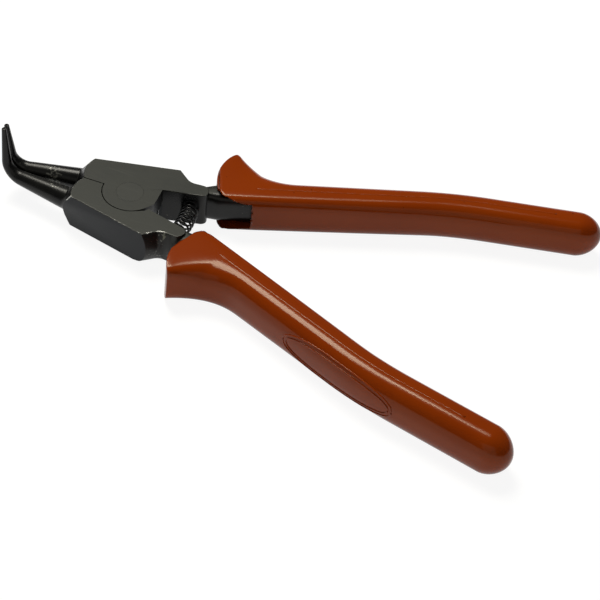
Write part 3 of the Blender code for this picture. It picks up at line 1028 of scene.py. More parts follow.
@dataclass(frozen=True)
class Lever:
    """One forging: half of the head with its lobe, the bent nose, the tang and the bar."""

    side: Side
    bar: Bar
    head: Head = Head()
    limits: FinishLimits = FinishLimits()
    # Cone between the head and the nose
    shoulder_angle: float = math.radians(54)
    shoulder_steps: int = 128
    # Lobe round the pivot
    lobe_radius: float = 7.8
    lobe_rear_edge: float = 8.2
    lobe_corner: float = 1.8
    lobe_round_end: float = math.radians(33)
    lobe_steps: int = 64
    # Space in which the other lever's lobe swings
    swing: float = math.radians(27)
    recess_start: float = math.radians(-60)
    recess_end: float = math.radians(216)
    recess_steps: int = 48
    # Nose: offset and radius at its root, radii further on, its bend and its height
    nose_root: Point = (4.8, 3.44)
    nose_before_bend: float = 2.2
    nose_after_bend: float = 1.42
    nose_tip: float = 0.7
    nose_bend_start: float = 32.0
    nose_bend_radius: float = 5.45
    nose_lean: float = math.radians(6.7)
    nose_steps: tuple[int, int, int] = (18, 24, 12)
    nose_sides: int = 64
    tip_height: float = 21.0
    # Tang and its ground tongue
    tang_root: float = 4.6
    tang_half_width: float = 2.1
    # Neck behind the head, whose wall bulges and is rounded off at the heel
    neck_back: float = 4.5
    neck_in: float = 3.7
    neck_fillet: float = 4.0
    neck_bulge: float = 1.5
    neck_clearance: float = 0.02
    neck_steps: int = 24
    neck_overshoot: float = 1.2
    neck_spare: float = 1.1
    heel_round: float = 1.9
    # Edges, and how far a cutter reaches past the metal
    rear_corner: float = 0.4
    edge_rounding: float = 0.2
    sharp_angle: float = 50.0
    beyond: float = 4.0

    def tang_end(self, outward: float) -> Vector:
        """Plan point of the ground tongue's end, this far outward from its middle."""
        line = self.bar.line
        along = Vector((math.cos(line.angle), math.sin(line.angle)))
        out = Vector((-along.y, along.x))
        return Vector(line.root) + along * self.bar.tang_end + out * outward

    @property
    def tang_face_angle(self) -> float:
        """Angle between the tang's inner face and the parting line."""
        x, y = self.tang_end(-self.tang_half_width)
        return math.atan2(y - self.tang_root, x - self.lobe_rear_edge)

    def side_half_width(self, x: float) -> float:
        """Distance of the head's slanted side from the parting line."""
        head = self.head
        slope = (head.rear_half_width - head.front_half_width) / (head.rear_edge + head.front_edge)
        return head.rear_half_width + slope * (x - head.rear_edge)

    def outline(self, points: Sequence[Point], bottom: float) -> list[Vector]:
        """Puts plan points, given for the +Y side, at a height on this side."""
        return [self.side.place(x, y, bottom) for x, y in points]

    def head_plate(self) -> bpy.types.Mesh:
        """Full thickness of the lever: half of the head, the neck and the ground tongue.

        Returns:
            The mesh.
        """
        head = self.head
        front = -head.front_edge - self.beyond
        inner_end, outer_end = self.tang_end(-self.tang_half_width), self.tang_end(self.tang_half_width)
        rear, neck = self.neck_corners()
        wall_normal = Vector((self.neck_in, self.neck_back)).normalized()

        def moved_back(corner: Vector, towards: Vector) -> Vector:
            """Moves a corner along its edge until it is more than the bulge behind the wall."""
            edge = (towards - corner).normalized()
            return corner + edge * (self.neck_spare * self.neck_bulge / edge.dot(wall_normal))

        behind = head.rear_edge + self.beyond
        side_behind = Vector((behind, self.side_half_width(behind)))
        corners = [
            (front, head.half_gap, 0.0),
            (0.0, head.half_gap, 0.0),
            (self.lobe_rear_edge, self.tang_root, 0.0),
            (*inner_end, self.tang_half_width),
            (*outer_end, self.tang_half_width),
            (*moved_back(neck, outer_end), self.neck_fillet),
            (*moved_back(rear, side_behind), self.rear_corner),
            (front, self.side_half_width(front), 0.0),
        ]
        return plate("head", self.outline(rounded(corners), 0.0), head.thickness)

    def neck_corners(self) -> tuple[Vector, Vector]:
        """Rear corner of the top face, and where the rear edge would meet the tongue's outer edge."""
        rear = Vector((self.head.rear_edge, self.head.rear_half_width))
        return rear, rear + Vector((self.neck_back, -self.neck_in))

    def neck_cutter(self) -> bpy.types.Mesh:
        """Space outside the neck, whose wall bulges between the top and bottom faces.

        Returns:
            The mesh.
        """
        rear, neck = self.neck_corners()
        outer_end = self.tang_end(self.tang_half_width)
        corners = [(*(2 * rear - neck), 0.0), (*neck, self.neck_fillet), (*outer_end, 0.0)]
        path = [Vector(point) for point in rounded(corners)]
        middle = self.head.middle
        wall = []
        for i in range(2 * self.neck_steps + 1):
            share = (i / self.neck_steps - 1) * self.neck_overshoot
            reach = self.neck_clearance + self.neck_bulge * (1 - share**2)
            turn = (-share * middle - middle + self.heel_round) / self.heel_round
            if turn > 0:
                reach -= self.heel_round * (turn if turn > 1 else 1 - math.sqrt(1 - turn**2))
            wall.append((reach, middle * (1 + share)))
        wall += [(2 * self.neck_bulge, wall[-1][1]), (2 * self.neck_bulge, wall[0][1])]
        rings = []
        for before, here, after in zip([path[0]] + path, path, path[1:] + [path[-1]]):
            along = (after - before).normalized()
            outward = Vector((-along.y, along.x))
            rings.append([self.side.place(*(here + outward * reach), z) for reach, z in wall])
        return sweep("neck", rings)

    def lobe_heights(self) -> tuple[float, float]:
        """Bottom and top of the lobe round the pivot.

        Returns:
            The two heights.
        """
        head = self.head
        if self.side is Side.UPPER:
            return head.middle + head.half_gap, head.thickness
        return 0.0, head.middle - head.half_gap

    def recess_heights(self) -> tuple[float, float]:
        """Bottom and top of the space for the other lever's lobe.

        Returns:
            The two heights.
        """
        head = self.head
        if self.side is Side.UPPER:
            return -self.beyond, head.middle + head.half_gap
        return head.middle - head.half_gap, head.thickness + self.beyond

    def lobe(self) -> bpy.types.Mesh:
        """Lobe round the pivot, with a straight rear edge that meets the tang.

        Returns:
            The mesh.
        """
        points = arc(PIVOT, self.lobe_radius, -math.pi, -self.lobe_round_end, self.lobe_steps)
        rear, gap = self.lobe_rear_edge, self.head.half_gap
        points += [(rear, -self.lobe_corner), (rear, self.tang_root + gap), (-self.lobe_radius, 2 * gap)]
        bottom, top = self.lobe_heights()
        return plate("lobe", self.outline(points, bottom), top)

    def recess(self) -> bpy.types.Mesh:
        """Space for the other lever's lobe, wider where its rear corner swings past.

        Returns:
            The mesh.
        """
        reach = math.hypot(self.lobe_rear_edge, self.lobe_corner) + self.head.lap_gap
        corner_swung = math.atan2(self.lobe_corner, self.lobe_rear_edge) + self.swing
        round_swung = self.lobe_round_end + self.swing
        points = arc(PIVOT, reach, self.recess_start, corner_swung, self.recess_steps)
        clear_radius = self.lobe_radius + self.head.lap_gap
        points += arc(PIVOT, clear_radius, round_swung, self.recess_end, 2 * self.recess_steps)
        bottom, top = self.recess_heights()
        return plate("recess", self.outline(points, bottom), top)

    def shoulder_cutter(self) -> bpy.types.Mesh:
        """Space round the cone that joins the head's rectangular end to the round nose.

        Returns:
            The mesh.
        """
        head = self.head
        slope = math.tan(self.shoulder_angle)
        inner, outer, front = self.nose_root[1] / 2, head.rear_half_width, 2 * self.beyond
        profile = [
            (inner, -front),
            (outer, -front),
            (outer, (outer - head.middle) / slope),
            (inner, (inner - head.middle) / slope),
        ]
        centre = self.side.place(-head.front_edge, self.nose_root[0], head.middle)
        return turned("shoulder", profile, centre, RIGHT, self.shoulder_steps)

    def nose_stations(self) -> list[tuple[float, float, float, float]]:
        """Middle line of the nose.

        Returns:
            X, Z, offset from the parting line and radius at each station.
        """
        head = self.head
        front, middle, bend = -head.front_edge, head.middle, self.nose_bend_radius
        before, after, tip = (
            (radius + head.half_gap, radius)
            for radius in (self.nose_before_bend, self.nose_after_bend, self.nose_tip)
        )
        path = [(x, middle, *self.nose_root) for x in (front + self.nose_root[1], front)]

        def add(count: int, place: Callable[[float], Point], start: Point, end: Point) -> None:
            """Adds a stretch whose offset and radius change evenly."""
            for i in range(1, count + 1):
                share = i / count
                path.append((*place(share), *(a + (b - a) * share for a, b in zip(start, end))))

        def on_bend(share: float) -> Point:
            """X and Z on the bend, for a share of its angle."""
            angle = (math.pi / 2 - self.nose_lean) * share
            return -self.nose_bend_start - bend * math.sin(angle), middle + bend * (1 - math.cos(angle))

        straight = self.nose_bend_start - head.front_edge
        end_x, end_z = on_bend(1.0)
        rise = self.tip_height - end_z
        lean = rise * math.tan(self.nose_lean)
        straight_steps, bend_steps, tip_steps = self.nose_steps
        add(straight_steps, lambda share: (front - straight * share, middle), self.nose_root, before)
        add(bend_steps, on_bend, before, after)
        add(tip_steps, lambda share: (end_x - lean * share, end_z + rise * share), after, tip)
        return path

    def nose(self) -> bpy.types.Mesh:
        """Round tapered nose with its bend.

        Returns:
            The mesh.
        """
        stations = self.nose_stations()
        circle = superellipse(self.nose_sides, ROUND)
        rings = []
        for i, (x, z, offset, radius) in enumerate(stations):
            before, after = stations[max(i - 1, 0)], stations[min(i + 1, len(stations) - 1)]
            along = Vector((after[0] - before[0], 0.0, after[1] - before[1])).normalized()
            up = Vector((along.z, 0.0, -along.x))
            centre = self.side.place(x, offset, z)
            rings.append([centre + (BACK * across + up * over) * radius * MM for across, over in circle])
        return sweep("nose", rings)

    def surface_of(self, face: bmesh.types.BMFace) -> Surface:
        """Finish of a face, from its place and direction.

        Args:
            face: The face.

        Returns:
            The finish.
        """
        head, line, limits = self.head, self.bar.line, self.limits
        x, _, z = face.calc_center_median() / MM
        along = (x - line.root[0]) / math.cos(line.angle)
        outward = face.normal.y * self.side.way
        if x < -head.front_edge - limits.nose_gap:
            return Surface.OXIDE
        if abs(face.normal.z) > limits.flat and along < self.bar.tang_end + limits.tongue_gap:
            return Surface.GROUND
        on_facet = z > limits.forged_bottom and limits.forged_start < x < limits.forged_end
        if on_facet and outward > limits.outward:
            return Surface.FORGED
        inner = outward < -limits.inward and x > self.lobe_rear_edge - limits.rear_gap
        return Surface.OXIDE if inner or x > head.rear_edge + limits.rear_gap else Surface.FLANK

    def on_ground_edge(self, edge: bmesh.types.BMEdge) -> bool:
        """Whether an edge is on the outside of the ground faces or the shoulder, and not in the lap.

        Args:
            edge: The edge.

        Returns:
            The answer.
        """
        head, limits = self.head, self.limits
        ends = [vert.co for vert in edge.verts]
        in_head = max(end.x for end in ends) / MM < head.rear_edge
        on_face = min(abs(end.z / MM - head.middle) for end in ends) > head.middle - limits.edge_below_face
        away = min(end.xy.length for end in ends) / MM > limits.edge_from_pivot
        beside = min(abs(end.y) for end in ends) / MM > head.half_gap + limits.edge_from_lap
        return (in_head or on_face) and away and beside

    def build(
        self, rivet: Rivet, peg: SpringPeg, finishes: Sequence[bpy.types.Material]
    ) -> bpy.types.Object:
        """Builds and dresses the lever.

        Args:
            rivet: The rivet, whose hole is cut.
            peg: This side's spring peg, whose hole is cut.
            finishes: Materials in the order of Surface.

        Returns:
            The piece.
        """
        lever = new_object(f"{self.side.label}_lever_forging", self.head_plate())
        cut_and_join(
            lever,
            [
                ("DIFFERENCE", self.neck_cutter()),
                ("DIFFERENCE", self.recess()),
                ("UNION", self.lobe()),
                ("DIFFERENCE", self.shoulder_cutter()),
                ("UNION", self.nose()),
                ("UNION", self.bar.mesh()),
                ("DIFFERENCE", rivet.mesh(rivet.clearance)),
                ("DIFFERENCE", peg.mesh(peg.clearance)),
            ],
        )
        dress(lever, *finishes)
        bm = bmesh.new()
        bm.from_mesh(lever.data)
        for face in bm.faces:
            face.material_index = self.surface_of(face).value
        bm.to_mesh(lever.data)
        bm.free()
        edge_slot = Surface.EDGE.value
        round_edges(lever, self.edge_rounding, self.sharp_angle, slot=edge_slot, chosen=self.on_ground_edge)
        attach(lever, self.side.body)
        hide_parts(f"{self.side.label}_lever")
        return lever


@dataclass(frozen=True)
class Rivet:
    """Rivet with countersunk ends, ground flush with the head."""

    head: Head = Head()
    radius: float = 2.9
    end_radius: float = 3.9
    end_depth: float = 1.2
    clearance: float = 0.03
    hole_beyond: float = 4.0
    edge_rounding: float = 0.02

    def mesh(self, grow: float = 0.0) -> bpy.types.Mesh:
        """Turned mesh of the rivet, or of its hole.

        Args:
            grow: Clearance of the hole, or 0 for the rivet itself.

        Returns:
            The mesh.
        """
        beyond = self.hole_beyond if grow else 0.0
        shank, end, height = self.radius + grow, self.end_radius + grow, self.head.thickness
        profile = [
            (0.0, -beyond),
            (end, -beyond),
            (end, 0.0),
            (shank, self.end_depth),
            (shank, height - self.end_depth),
            (end, height),
            (end, height + beyond),
            (0.0, height + beyond),
        ]
        return turned("rivet", profile, Vector(), UP)

    def build(self, finish: bpy.types.Material) -> bpy.types.Object:
        """Builds and dresses the rivet.

        Args:
            finish: Its material.

        Returns:
            The piece.
        """
        rivet = new_object("ground_rivet", self.mesh())
        dress(rivet, finish)
        round_edges(rivet, self.edge_rounding, segments=2)
        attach(rivet, Side.LOWER.body)
        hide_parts("pivot_rivet")
        return rivet


@dataclass(frozen=True)
class SpringSeat:
    """Where the spring's axis meets the tangs."""

    lever: Lever
    x: float = 16.1

    def on(self, side: Side) -> tuple[Vector, Vector]:
        """Seat on one tang.

        Args:
            side: The tang's side.

        Returns:
            The point in metres and the direction square into the tang.
        """
        angle = self.lever.tang_face_angle
        y = self.lever.tang_root + math.tan(angle) * (self.x - self.lever.lobe_rear_edge)
        inward = Vector((-math.sin(angle), side.way * math.cos(angle), 0.0))
        return side.place(self.x, y, self.lever.head.middle), inward


@dataclass(frozen=True)
class SpringPeg:
    """Peg in one tang that holds an end of the spring."""

    side: Side
    seat: SpringSeat
    radius: float = 1.5
    stands_out: float = 1.7
    sunk: float = 2.2
    clearance: float = 0.03
    edge_rounding: float = 0.3
    sides: int = 48

    def mesh(self, grow: float = 0.0) -> bpy.types.Mesh:
        """Turned mesh of the peg, or of its hole.

        Args:
            grow: Clearance of the hole, or 0 for the peg itself.

        Returns:
            The mesh.
        """
        out = self.stands_out * (2 if grow else 1)
        radius, sunk = self.radius + grow, self.sunk + grow
        seat, inward = self.seat.on(self.side)
        profile = [(0.0, -out), (radius, -out), (radius, sunk), (0.0, sunk)]
        return turned("peg", profile, seat, inward, self.sides)

    def build(self, finish: bpy.types.Material) -> bpy.types.Object:
        """Builds and dresses the peg.

        Args:
            finish: Its material.

        Returns:
            The piece.
        """
        peg = new_object(f"{self.side.label}_spring_seat", self.mesh())
        dress(peg, finish)
        round_edges(peg, self.edge_rounding)
        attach(peg, self.side.body)
        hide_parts(f"{self.side.label}_spring_peg")
        return peg


@dataclass(frozen=True)
class ReturnSpring:
    """Coil spring that bows from seat to seat, with one closed turn at each end."""

    seat: SpringSeat
    outer_radius: float = 2.65
    wire: float = 0.6
    coils: int = 7
    closed_pitch: float = 0.69
    end_gap: float = 0.3
    coil_steps: int = 40
    wire_sides: int = 12
    smooth_angle: float = math.radians(60)

    def mesh(self) -> bpy.types.Mesh:
        """Wire spun into a straight helix turn by turn, then bowed from seat to seat.

        Returns:
            The mesh.
        """
        inset = self.end_gap + self.wire / 2
        (low, low_in), (high, high_in) = self.seat.on(Side.LOWER), self.seat.on(Side.UPPER)
        start, end = low / MM - low_in * inset, high / MM - high_in * inset
        angle = self.seat.lever.tang_face_angle
        bow_radius = (end - start).length / (2 * math.sin(angle))
        bow_centre = (start + end) / 2 - Vector((bow_radius * math.cos(angle), 0.0, 0.0))
        open_pitch = (2 * angle * bow_radius - 2 * self.closed_pitch) / self.coils
        mean = self.outer_radius - self.wire / 2
        bm = bmesh.new()
        wire = bmesh.ops.create_circle(bm, segments=self.wire_sides, radius=self.wire / 2)["verts"]
        bmesh.ops.translate(bm, verts=wire, vec=(mean, 0.0, 0.0))
        geometry = list(bm.verts) + list(bm.edges)
        bmesh.ops.contextual_create(bm, geom=list(bm.edges))
        for turns, pitch in ((1, self.closed_pitch), (self.coils, open_pitch), (1, self.closed_pitch)):
            for _ in range(turns):
                made = bmesh.ops.spin(
                    bm,
                    geom=geometry,
                    cent=Vector(),
                    axis=BACK,
                    dvec=BACK * (pitch / self.coil_steps),
                    angle=-math.tau,
                    steps=self.coil_steps,
                    use_merge=False,
                )
                geometry = made["geom_last"]
        bmesh.ops.contextual_create(bm, geom=only(bmesh.types.BMEdge, geometry))
        for vert in bm.verts:
            bow = vert.co.y / bow_radius - angle
            outward = Vector((math.cos(bow), math.sin(bow), 0.0))
            vert.co = (bow_centre + outward * (bow_radius + vert.co.x) + UP * vert.co.z) * MM
        return finish_mesh("spring", bm)

    def build(self, finish: bpy.types.Material) -> bpy.types.Object:
        """Builds and dresses the spring, which is bowed once between the two tangs.

        Args:
            finish: Its material.

        Returns:
            The piece.
        """
        spring = new_object("coil_spring", self.mesh())
        dress(spring, finish)
        spring.data.shade_smooth()
        spring.data.set_sharp_from_angle(angle=self.smooth_angle)
        low, high = self.seat.on(Side.LOWER)[0], self.seat.on(Side.UPPER)[0]
        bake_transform(spring)
        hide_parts("return_spring")
        return spring


@dataclass(frozen=True)
class SleeveSteps:
    """How finely a sleeve is drawn: whole numbers are counts, the others are millimetres between rings."""

    points: int = 160
    bore: float = 1.5
    blend: int = 8
    lip: int = 10
    rim: int = 4
    front: float = 0.7
    rear: float = 1.3
    end: int = 16
    notch: float = 0.8
    seam: float = 1.0
    panel: int = 120
    ridge: int = 16
    halvings: int = 30


@dataclass(frozen=True)
class Sleeve:
    """Moulded sleeve of one handle, with its thumb guard, notch and round end."""

    side: Side
    bar: Bar
    fine: SleeveSteps = SleeveSteps()
    # Walls round the bar
    clearance: float = 0.3
    side_wall: float = 1.7
    top_wall: float = 1.5
    # Thumb guard
    guard_reach: float = 10.2
    guard_length: float = 17.0
    guard_power: float = 2.2
    # Notch in the inner wall
    notch_length: float = 7.1
    notch_lip: float = 2.1
    notch_mouth_lip: float = 0.4
    notch_before: float = 4.0
    # Squareness of the section from front to rear, and that of its outer upper quarter, the crown
    front_squareness: float = 4.3
    rear_squareness: float = 2.9
    rounding_start: float = 10.0
    rounding_length: float = 55.0
    front_crown: float = 7.0
    crown: float = 2.6
    crown_start: float = 3.0
    crown_length: float = 10.0
    crown_power: float = 0.7
    # How much fuller or slimmer this side's moulding is towards its end
    grip_set: float = 0.2
    # Where rings follow the mouth's arc, and how far their points are looked for
    bore_blend: float = 8.0
    first_ring: float = 1.0
    arc_fades_at: float = 22.0
    search_back: float = 4.0
    search_ahead: float = 18.0
    # Round end and edges
    end_length: float = 6.9
    rim: float = 0.35
    edge_rounding: float = 0.3
    sharp_angle: float = 40.0
    # Mould seam along the top
    seam_start: float = 11.0
    seam_end: float = 98.0
    seam_half_width: float = 0.26
    seam_height: float = 0.07
    # Frame of the blank oval panel: two ridges, one inside the other
    panel_middle: float = 60.5
    panel_half_length: float = 18.7
    panel_half_height: float = 4.6
    panel_frame: float = 1.1
    panel_squareness: float = 2.5
    ridge_radius: float = 0.24

    @property
    def half_width(self) -> float:
        """Half width of the sleeve behind its guard."""
        return self.bar.half_width + self.clearance + self.side_wall

    @property
    def half_height(self) -> float:
        """Half height of the sleeve."""
        return self.bar.half_height + self.clearance + self.top_wall

    def outer(self, s: float) -> float:
        """How far the outer side lies from the handle line."""
        start = self.bar.mouth.distance(self.half_width + self.guard_reach)
        share = 1 - (s - start) / self.guard_length
        return self.half_width + self.guard_reach * max(0.0, share) ** self.guard_power

    def reach(self, s: float, across: float, inset: float) -> float:
        """How far a ring lies from the handle line, on the side that the sign of across tells."""
        return (self.outer(s) if across > 0 else self.half_width) - inset

    def change(self, s: float) -> float:
        """Share of the change from the crisp front section to the round rear one."""
        return min(max((s - self.rounding_start) / self.rounding_length, 0.0), 1.0)

    def fullness(self, s: float) -> float:
        """How much this side's moulding stands out from the mean one."""
        return -self.bar.line.side.way * self.grip_set * self.change(s)

    def squareness(self, s: float) -> float:
        """Squareness of the section."""
        return self.front_squareness + (self.rear_squareness - self.front_squareness) * self.change(s)

    def crown_at(self, s: float) -> float:
        """Squareness of the section's outer upper quarter: crisp at the mouth and round behind it."""
        away = min(max((s - self.crown_start) / self.crown_length, 0.0), 1.0) ** self.crown_power
        return self.front_crown + (self.crown - self.front_crown) * away

    def place_along(self, s: float, across: float, inset: float, follow: float) -> float:
        """Distance along the handle line of a point whose ring follows the mouth's arc.

        Args:
            s: Distance along for a point on the line itself.
            across: The point's share of the reach, -1 to 1.
            inset: How far the ring lies inside the surface.
            follow: How much of the arc the ring follows, from 0 to 1.

        Returns:
            The distance.
        """
        mouth = self.bar.mouth
        low, high = s - self.search_back, s + self.search_ahead
        for _ in range(self.fine.halvings):
            place = (low + high) / 2
            n = across * self.reach(place, across, inset)
            if place - s > follow * (mouth.distance(n) - mouth.distance(0.0)):
                high = place
            else:
                low = place
        return (low + high) / 2

    def ring(self, s: float, inset: float = 0.0, follow: float = 0.0) -> list[Vector]:
        """Points of the outside at one station.

        Args:
            s: Distance along the handle line, for a point on the line itself.
            inset: How far the ring lies inside the surface.
            follow: How much of the mouth's arc the ring follows, from 0 to 1.

        Returns:
            The points.
        """
        slim = inset - self.fullness(s)
        height = self.half_height - slim
        ring = []
        for across, up in superellipse(self.fine.points, self.squareness(s), self.crown_at(s)):
            place = self.place_along(s, across, slim, follow) if follow else s
            n = across * self.reach(place, across, slim)
            ring.append(self.bar.line.spot(place, n, self.bar.head.middle + up * height))
        return ring

    def lip_ring(self, share: float, bore: Bar) -> list[Vector]:
        """Points on the mouth's face between the bore and the outside.

        Args:
            share: 0 at the bore, 1 at the outside.
            bore: The bar whose section the bore has.

        Returns:
            The points.
        """
        line, mouth = self.bar.line, self.bar.mouth
        front = mouth.distance(0.0)
        inner, outer, height = bore.reaches(front)
        near_points = superellipse(self.fine.points, bore.squareness)
        far_points = superellipse(self.fine.points, self.front_squareness, self.front_crown)
        ring = []
        for (near_across, near_up), (across, up) in zip(near_points, far_points):
            near = near_across * ((outer if near_across > 0 else inner) + self.clearance)
            far = across * self.reach(self.place_along(front, across, self.rim, 1.0), across, self.rim)
            low, high = near_up * (height + self.clearance), up * (self.half_height - self.rim)
            n, z = near + (far - near) * share, self.bar.head.middle + low + (high - low) * share
            ring.append(line.spot(mouth.distance(n), n, z))
        return ring

    def end_ring(self, angle: float) -> list[Vector]:
        """Points of the round end.

        Args:
            angle: Angle of the ring from the end's widest place.

        Returns:
            The points.
        """
        line = self.bar.line
        fullness = self.fullness(line.length)
        width, height = self.half_width + fullness, self.half_height + fullness
        squareness = self.rear_squareness + (ROUND - self.rear_squareness) * math.sin(angle)
        crown = self.crown + (ROUND - self.crown) * math.sin(angle)
        s, left = line.length + self.end_length * math.sin(angle), math.cos(angle)
        return [
            line.spot(s, across * width * left, self.bar.head.middle + up * height * left)
            for across, up in superellipse(self.fine.points, squareness, crown)
        ]

    def shell(self) -> bpy.types.Mesh:
        """Closed solid: from the bore's end out, across the mouth's face, along the outside, round the end.

        Returns:
            The mesh.
        """
        line, mouth, fine = self.bar.line, self.bar.mouth, self.fine
        bore = Bar(line, points=fine.points)
        front, fades_at = mouth.distance(0.0), self.arc_fades_at
        in_bore = steps(bore.end + self.clearance, front + self.bore_blend, fine.bore)
        rings = [bore.ring(s, self.clearance) for s in in_bore]
        for i in range(1, fine.blend + 1):
            share = i / fine.blend
            s = front + self.bore_blend * (1 - share)
            rings.append(
                bore.ring(s, self.clearance, lambda n, s=s, k=share: s + k * (mouth.distance(n) - front))
            )
        rings += [self.lip_ring(i / fine.lip, bore) for i in range(1, fine.lip)]
        for i in range(fine.rim + 1):
            a = math.pi / 2 * i / fine.rim
            rings.append(self.ring(front + self.rim * (1 - math.cos(a)), self.rim * (1 - math.sin(a)), 1.0))
        for s in steps(front + self.first_ring, fades_at, fine.front):
            rings.append(self.ring(s, 0.0, 1 - (s - front) / (fades_at - front)))
        rings += [self.ring(s) for s in steps(fades_at, line.length, fine.rear)[1:]]
        rings += [self.end_ring(math.pi / 2 * i / fine.end) for i in range(1, fine.end)]
        return sweep("shell", rings)

    def outside(self, s: float, up: float) -> Vector:
        """Point on the outer side or the top.

        Args:
            s: Distance along the handle line.
            up: Height over the middle as a share of the half height, -1 to 1.

        Returns:
            The point.
        """
        power = self.crown_at(s) if up > 0 else self.squareness(s)
        across = (1 - min(abs(up), 1.0) ** power) ** (1 / power)
        reach, height = self.outer(s) + self.fullness(s), self.half_height + self.fullness(s)
        return self.bar.line.spot(s, across * reach, self.bar.head.middle + up * height)

    def ridge(self, path: Sequence[Point], half_width: float, height: float, looped: bool) -> bpy.types.Mesh:
        """Slim ridge along a path on the outside.

        Args:
            path: Stations and heights, as taken by outside.
            half_width: Half the ridge's width.
            height: How far it stands out.
            looped: Whether the path ends where it starts.

        Returns:
            The mesh.
        """
        section = superellipse(self.fine.ridge, ROUND)
        last = len(path) - 1
        rings = []
        for i, here in enumerate(path):
            before = path[(i - 1) % last] if looped else path[max(i - 1, 0)]
            after = path[i % last + 1] if looped else path[min(i + 1, last)]
            along = (self.outside(*after) - self.outside(*before)).normalized()
            beside = along.cross(UP).normalized()
            over = beside.cross(along)
            middle = self.outside(*here)
            rings.append([middle + (beside * half_width * c + over * height * u) * MM for c, u in section])
        return sweep("ridge", rings, looped)

    def ridges(self) -> list[bpy.types.Mesh]:
        """Mould seam along the top, and on the lower sleeve the frame of a blank oval panel.

        Returns:
            The meshes.
        """
        seam = [(s, 1.0) for s in steps(self.seam_start, self.seam_end, self.fine.seam)]
        found = [self.ridge(seam, self.seam_half_width, self.seam_height, False)]
        oval = superellipse(self.fine.panel, self.panel_squareness)
        for inset in (0.0, self.panel_frame) if self.side is Side.LOWER else ():
            length = self.panel_half_length - inset
            height = (self.panel_half_height - inset) / self.half_height
            path = [(self.panel_middle + length * along, height * up) for along, up in oval + oval[:1]]
            found.append(self.ridge(path, self.ridge_radius, self.ridge_radius, True))
        return found

    def notch(self) -> bpy.types.Mesh:
        """Notch in the inner wall, between its upper and lower lips.

        Returns:
            The mesh.
        """
        mouth, past_wall = self.bar.mouth, -2 * self.half_width
        end = mouth.distance(-self.half_width) + self.notch_length
        rings = []
        for s in steps(mouth.distance(0.0) - self.notch_before, end, self.fine.notch):
            share = min(1.0, (end - s) / self.notch_length) ** 2
            half = self.half_height - self.notch_lip + (self.notch_lip - self.notch_mouth_lip) * share
            corners = [(past_wall, -half), (0.0, -half), (0.0, half), (past_wall, half)]
            rings.append([self.bar.line.spot(s, n, self.bar.head.middle + up) for n, up in corners])
        return sweep("notch", rings)

    def build(self, finish: bpy.types.Material) -> bpy.types.Object:
        """Builds and dresses the sleeve.

        Args:
            finish: Its material.

        Returns:
            The piece.
        """
        sleeve = new_object(f"{self.side.label}_grip", self.shell())
        cut_and_join(sleeve, [("DIFFERENCE", self.notch())])
        dress(sleeve, finish)
        round_edges(sleeve, self.edge_rounding, self.sharp_angle)
        bm = bmesh.new()
        bm.from_mesh(sleeve.data)
        for ridge in self.ridges():
            ridge.shade_smooth()
            bm.from_mesh(ridge)
        bm.to_mesh(sleeve.data)
        bm.free()
        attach(sleeve, self.side.body)
        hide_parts(f"{self.side.label}_sleeve")
        return sleeve


# Studio


@dataclass(frozen=True)
class Lamp:
    """Square lamp: turn and rise as seen from the object in degrees, width in metres, power in watts."""

    name: str
    turn: float
    rise: float
    size: float
    power: float


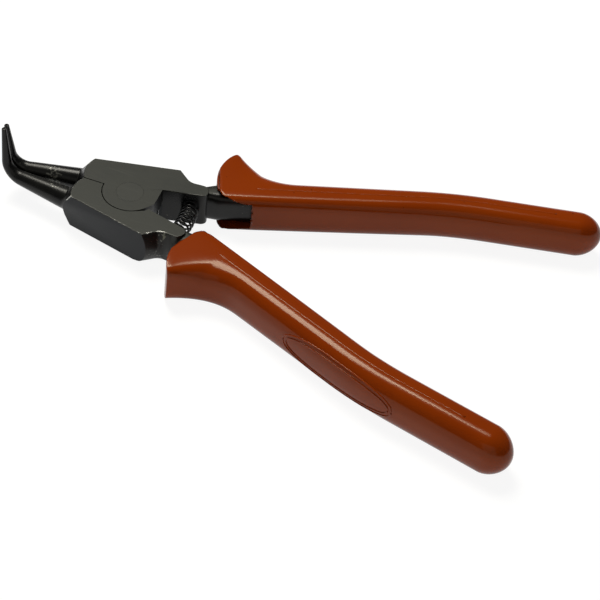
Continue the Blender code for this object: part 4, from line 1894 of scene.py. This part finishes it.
@dataclass(frozen=True)
class Studio:
    """Floor, lights and the camera at the photograph's viewing angle. Places are in metres."""

    floor_height: float = -0.0011
    floor_half: float = 3.0
    floor_roughness: float = 0.9
    floor_specular: float = 0.1
    floor_colour: float = 0.9
    seen_floor_colour: float = 0.16
    background_lift: float = 0.9
    camera_place: Triple = (0.1766, -0.4705, 0.4721)
    camera_right: Triple = (0.9368, 0.3375, 0.0901)
    camera_up: Triple = (-0.2993, 0.6432, 0.7046)
    camera_back: Triple = (0.1798, -0.6874, 0.7037)
    focal_length: float = 143.75
    sensor_width: float = 36.0
    clip_start: float = 0.01
    room_light: float = 0.1
    lamp_colour: Triple = (1.0, 0.97, 0.88)
    lamp_aim: Triple = (0.045, 0.0, 0.005)
    lamp_distance: float = 0.8
    lamps: tuple[Lamp, ...] = (
        Lamp("soft_box", turn=135.0, rise=60.0, size=0.34, power=5.6),
        Lamp("back_lamp", turn=100.0, rise=66.0, size=0.15, power=0.4),
        Lamp("front_fill", turn=-80.0, rise=20.0, size=0.8, power=0.9),
    )

    def floor(self) -> None:
        """Pale floor, lifted to white for the camera and for reflections, which still shows the shadow."""
        bm = bmesh.new()
        bmesh.ops.create_grid(bm, x_segments=1, y_segments=1, size=self.floor_half)
        bmesh.ops.translate(bm, verts=bm.verts, vec=(0.0, 0.0, self.floor_height))
        floor = new_object("studio_floor", finish_mesh("floor", bm))
        material = bpy.data.materials.new("pale_floor")
        material.use_nodes = True
        graph = Graph(material.node_tree)
        shader = material.node_tree.nodes["Principled BSDF"]
        shader.inputs["Roughness"].default_value = self.floor_roughness
        shader.inputs["Specular IOR Level"].default_value = self.floor_specular
        path = graph.node("ShaderNodeLightPath")
        seen = graph.math("MAXIMUM", path.outputs["Is Camera Ray"], path.outputs["Is Glossy Ray"])
        seen = graph.math("MAXIMUM", seen, path.outputs["Is Transmission Ray"])
        lighting, shown = (self.floor_colour,) * 3, (self.seen_floor_colour,) * 3
        graph.feed(shader.inputs["Base Color"], graph.mix(seen, lighting, shown))
        graph.feed(shader.inputs["Emission Color"], WHITE)
        graph.feed(shader.inputs["Emission Strength"], graph.math("MULTIPLY", seen, self.background_lift))
        floor.data.materials.append(material)

    def lights(self) -> None:
        """Soft box high behind on the left, small lamp behind and weak fill in front, in an even room."""
        world = bpy.data.worlds.new("room")
        world.use_nodes = True
        background = world.node_tree.nodes["Background"]
        background.inputs["Color"].default_value = (*WHITE, 1.0)
        background.inputs["Strength"].default_value = self.room_light
        bpy.context.scene.world = world
        for lamp in self.lamps:
            light = bpy.data.lights.new(lamp.name, "AREA")
            light.shape = "SQUARE"
            light.size = lamp.size
            light.energy = lamp.power
            light.color = self.lamp_colour
            turned_up = Matrix.Rotation(math.radians(-lamp.rise), 3, "Y")
            towards = Matrix.Rotation(math.radians(lamp.turn), 3, "Z") @ turned_up @ RIGHT
            placed = new_object(lamp.name, light)
            placed.location = Vector(self.lamp_aim) + towards * self.lamp_distance
            placed.rotation_euler = towards.to_track_quat("Z", "Y").to_euler()

    def camera(self) -> None:
        """Camera fitted to the photograph."""
        data = bpy.data.cameras.new("photo_camera")
        data.lens = self.focal_length
        data.sensor_width = self.sensor_width
        data.clip_start = self.clip_start
        camera = new_object("photo_camera", data)
        turn = Matrix((self.camera_right, self.camera_up, self.camera_back)).transposed().to_4x4()
        camera.matrix_world = Matrix.Translation(self.camera_place) @ turn
        bpy.context.scene.camera = camera

    def build(self) -> None:
        """Sets up the whole studio."""
        self.floor()
        self.lights()
        self.camera()
        bpy.context.scene.view_settings.view_transform = "Standard"


def main() -> None:
    """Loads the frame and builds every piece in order."""
    logging.basicConfig(level=logging.INFO, format="%(name)s: %(message)s")
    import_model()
    effects = Effects()
    steels = (GROUND_STEEL, FLANK_STEEL, OXIDE_STEEL, LEVER_EDGE, FORGED_STEEL)
    surfaces = [finish.build(effects) for finish in steels]
    plastic = SLEEVE_PLASTIC.build(effects)
    rivet = Rivet()
    pieces = [rivet.build(RIVET_STEEL.build(effects))]
    for side in Side:
        bar = Bar(HandleLine(side))
        lever = Lever(side, bar)
        seat = SpringSeat(lever)
        peg = SpringPeg(side, seat)
        pieces.append(lever.build(rivet, peg, surfaces))
        pieces.append(peg.build(surfaces[Surface.OXIDE.value]))
        pieces.append(Sleeve(side, bar).build(plastic))
    # The tangs mirror each other, so the last lever's seat is the same as the first one's
    pieces.append(ReturnSpring(seat).build(SPRING_STEEL.build(effects)))
    for piece in pieces:
        LOG.info("%s: %d faces before its modifiers", piece.name, len(piece.data.polygons))
    Studio().build()


if __name__ == "__main__":
    main()
